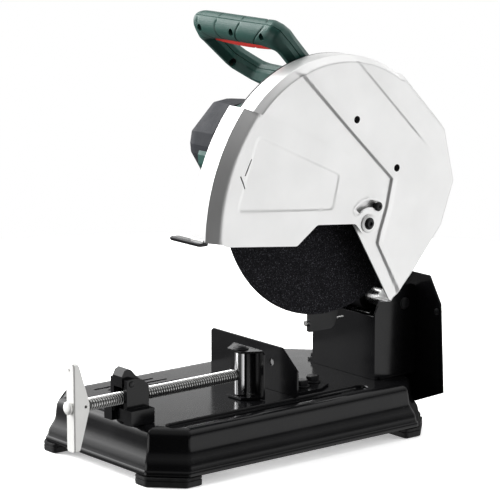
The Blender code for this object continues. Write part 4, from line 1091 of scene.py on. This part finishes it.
# Name, the way to it from the machine, how far in metres, its size in metres and its power.
SOFTBOXES = (
    ("front_left_softbox", (-0.85, -0.52, 0.32), 2.2, (1.3, 1.5), 110.0),
    ("right_rear_softbox", (0.72, 0.69, 0.20), 2.4, (1.3, 1.6), 36.0),
    ("top_softbox", (-0.05, -0.05, 1.0), 2.2, (1.6, 1.6), 26.0),
)
ROOM_BASE = 0.035
# Broad soft cards round the room: where each lies, the cosines over which it comes up, the heights over
# which it comes up and those over which it goes down again, and how bright it is.
ROOM_CARDS = (
    ((-0.78, 0.62, 0.0), (0.55, 0.93), (0.08, 0.15, 0.220, 0.272), 1.5),
    ((-0.72, -0.66, -0.1), (0.35, 0.92), None, 0.13),
    ((0.0, 0.0, -1.0), (0.245, 0.31), None, 0.15),
    ((0.1, 0.1, 1.0), (0.30, 0.95), None, 0.36),
    ((0.0, 0.75, 0.72), (0.55, 0.95), None, 0.75),
    ((0.66, 0.75, -0.10), (0.64, 0.90), (-2.0, -1.5, 0.0, 0.16), 1.02),
    ((0.97, -0.16, -0.12), (0.96, 0.99), None, 0.6),
    ((-0.31, -0.95, -0.05), (0.87, 0.95), None, 1.6),
    ((-0.93, -0.32, 0.22), (0.88, 0.98), None, 2.6),
    ((-0.76, -0.19, 0.62), (0.82, 0.97), None, 3.4),
)


def make_world(scene):
    """White where the camera looks past the floor, and a dark room with soft cards for light and reflections."""
    world = scene.world or bpy.data.worlds.new("studio")
    scene.world = world
    world.use_nodes = True
    world.node_tree.nodes.clear()
    n = Tree(world.node_tree)
    smooth = {"interpolation_type": "SMOOTHSTEP"}
    way = n.add("TexCoord").outputs["Generated"]
    rise = n.add("SeparateXYZ", {"Vector": way}).outputs["Z"]
    total = ROOM_BASE
    for direction, cosines, heights, strength in ROOM_CARDS:
        dot = n.add("VectorMath", {0: way, 1: Vector(direction).normalized()}, operation="DOT_PRODUCT")
        card = n.ramp(dot.outputs["Value"], *cosines, **smooth)
        if heights:
            up, down = n.ramp(rise, *heights[:2], **smooth), n.ramp(rise, *heights[2:], **smooth)
            card = n.times(card, n.times(up, down, "SUBTRACT"))
        total = n.times(total, n.times(card, strength), "ADD")
    white = (1.0, 1.0, 1.0, 1.0)
    room = n.add("Background", {"Color": white, "Strength": total}).outputs[0]
    seen = n.add("Background", {"Color": white}).outputs[0]
    camera_ray = n.add("LightPath").outputs["Is Camera Ray"]
    n.add("OutputWorld", {0: n.add("MixShader", {0: camera_ray, 1: room, 2: seen}).outputs[0]})


def aimed(name, data, place, back):
    """A camera or lamp at place, turned so that back points away from what it looks at."""
    made = placed(name, data)
    made.location = place
    made.rotation_mode = "QUATERNION"
    made.rotation_quaternion = back.to_track_quat("Z", "Y")
    return made


def make_stage():
    scene = bpy.context.scene
    scene.view_settings.view_transform = "Standard"
    camera = bpy.data.cameras.new("camera")
    camera.lens, camera.sensor_width = LENS, 36.0
    camera.clip_start, camera.clip_end = 0.1, 60.0
    scene.camera = aimed("camera", camera, at(*CAMERA_PLACE), Vector(CAMERA_BACK).normalized())

    make_world(scene)
    for name, way, far, size, power in SOFTBOXES:
        lamp = bpy.data.lights.new(name, "AREA")
        lamp.shape = "RECTANGLE"
        lamp.size, lamp.size_y = size
        lamp.energy = power
        back = Vector(way).normalized()
        aimed(name, lamp, at(*MACHINE_CENTRE) + back * far, back).visible_glossy = False

    floor_mesh = bpy.data.meshes.new("studio_floor")
    rim = circle((0.0, 0.0), FLOOR_R, 96)
    floor_mesh.from_pydata([(x, y, FLOOR_Z) for x, y in rim], [], [tuple(range(96))])
    n = Nodes("pale_floor")
    tone = n.tones((0.93, 0.93, 0.93), (0.95, 0.95, 0.95), 3.0)
    n.put(n.shader.inputs["Emission Color"], tone)
    n.shader.inputs["Emission Strength"].default_value = FLOOR_GLOW
    floor_mesh.materials.append(n.finish(tone, 0.8, 0.0, 0.1))
    floor = placed("studio_floor", floor_mesh)
    floor.visible_glossy = False
    floor.visible_diffuse = False


make_base()
make_fence()
make_vise()
make_bracket()
make_drive()
make_wheel()
make_fixed_guard()
make_front_guard()
make_handle()
make_stage()
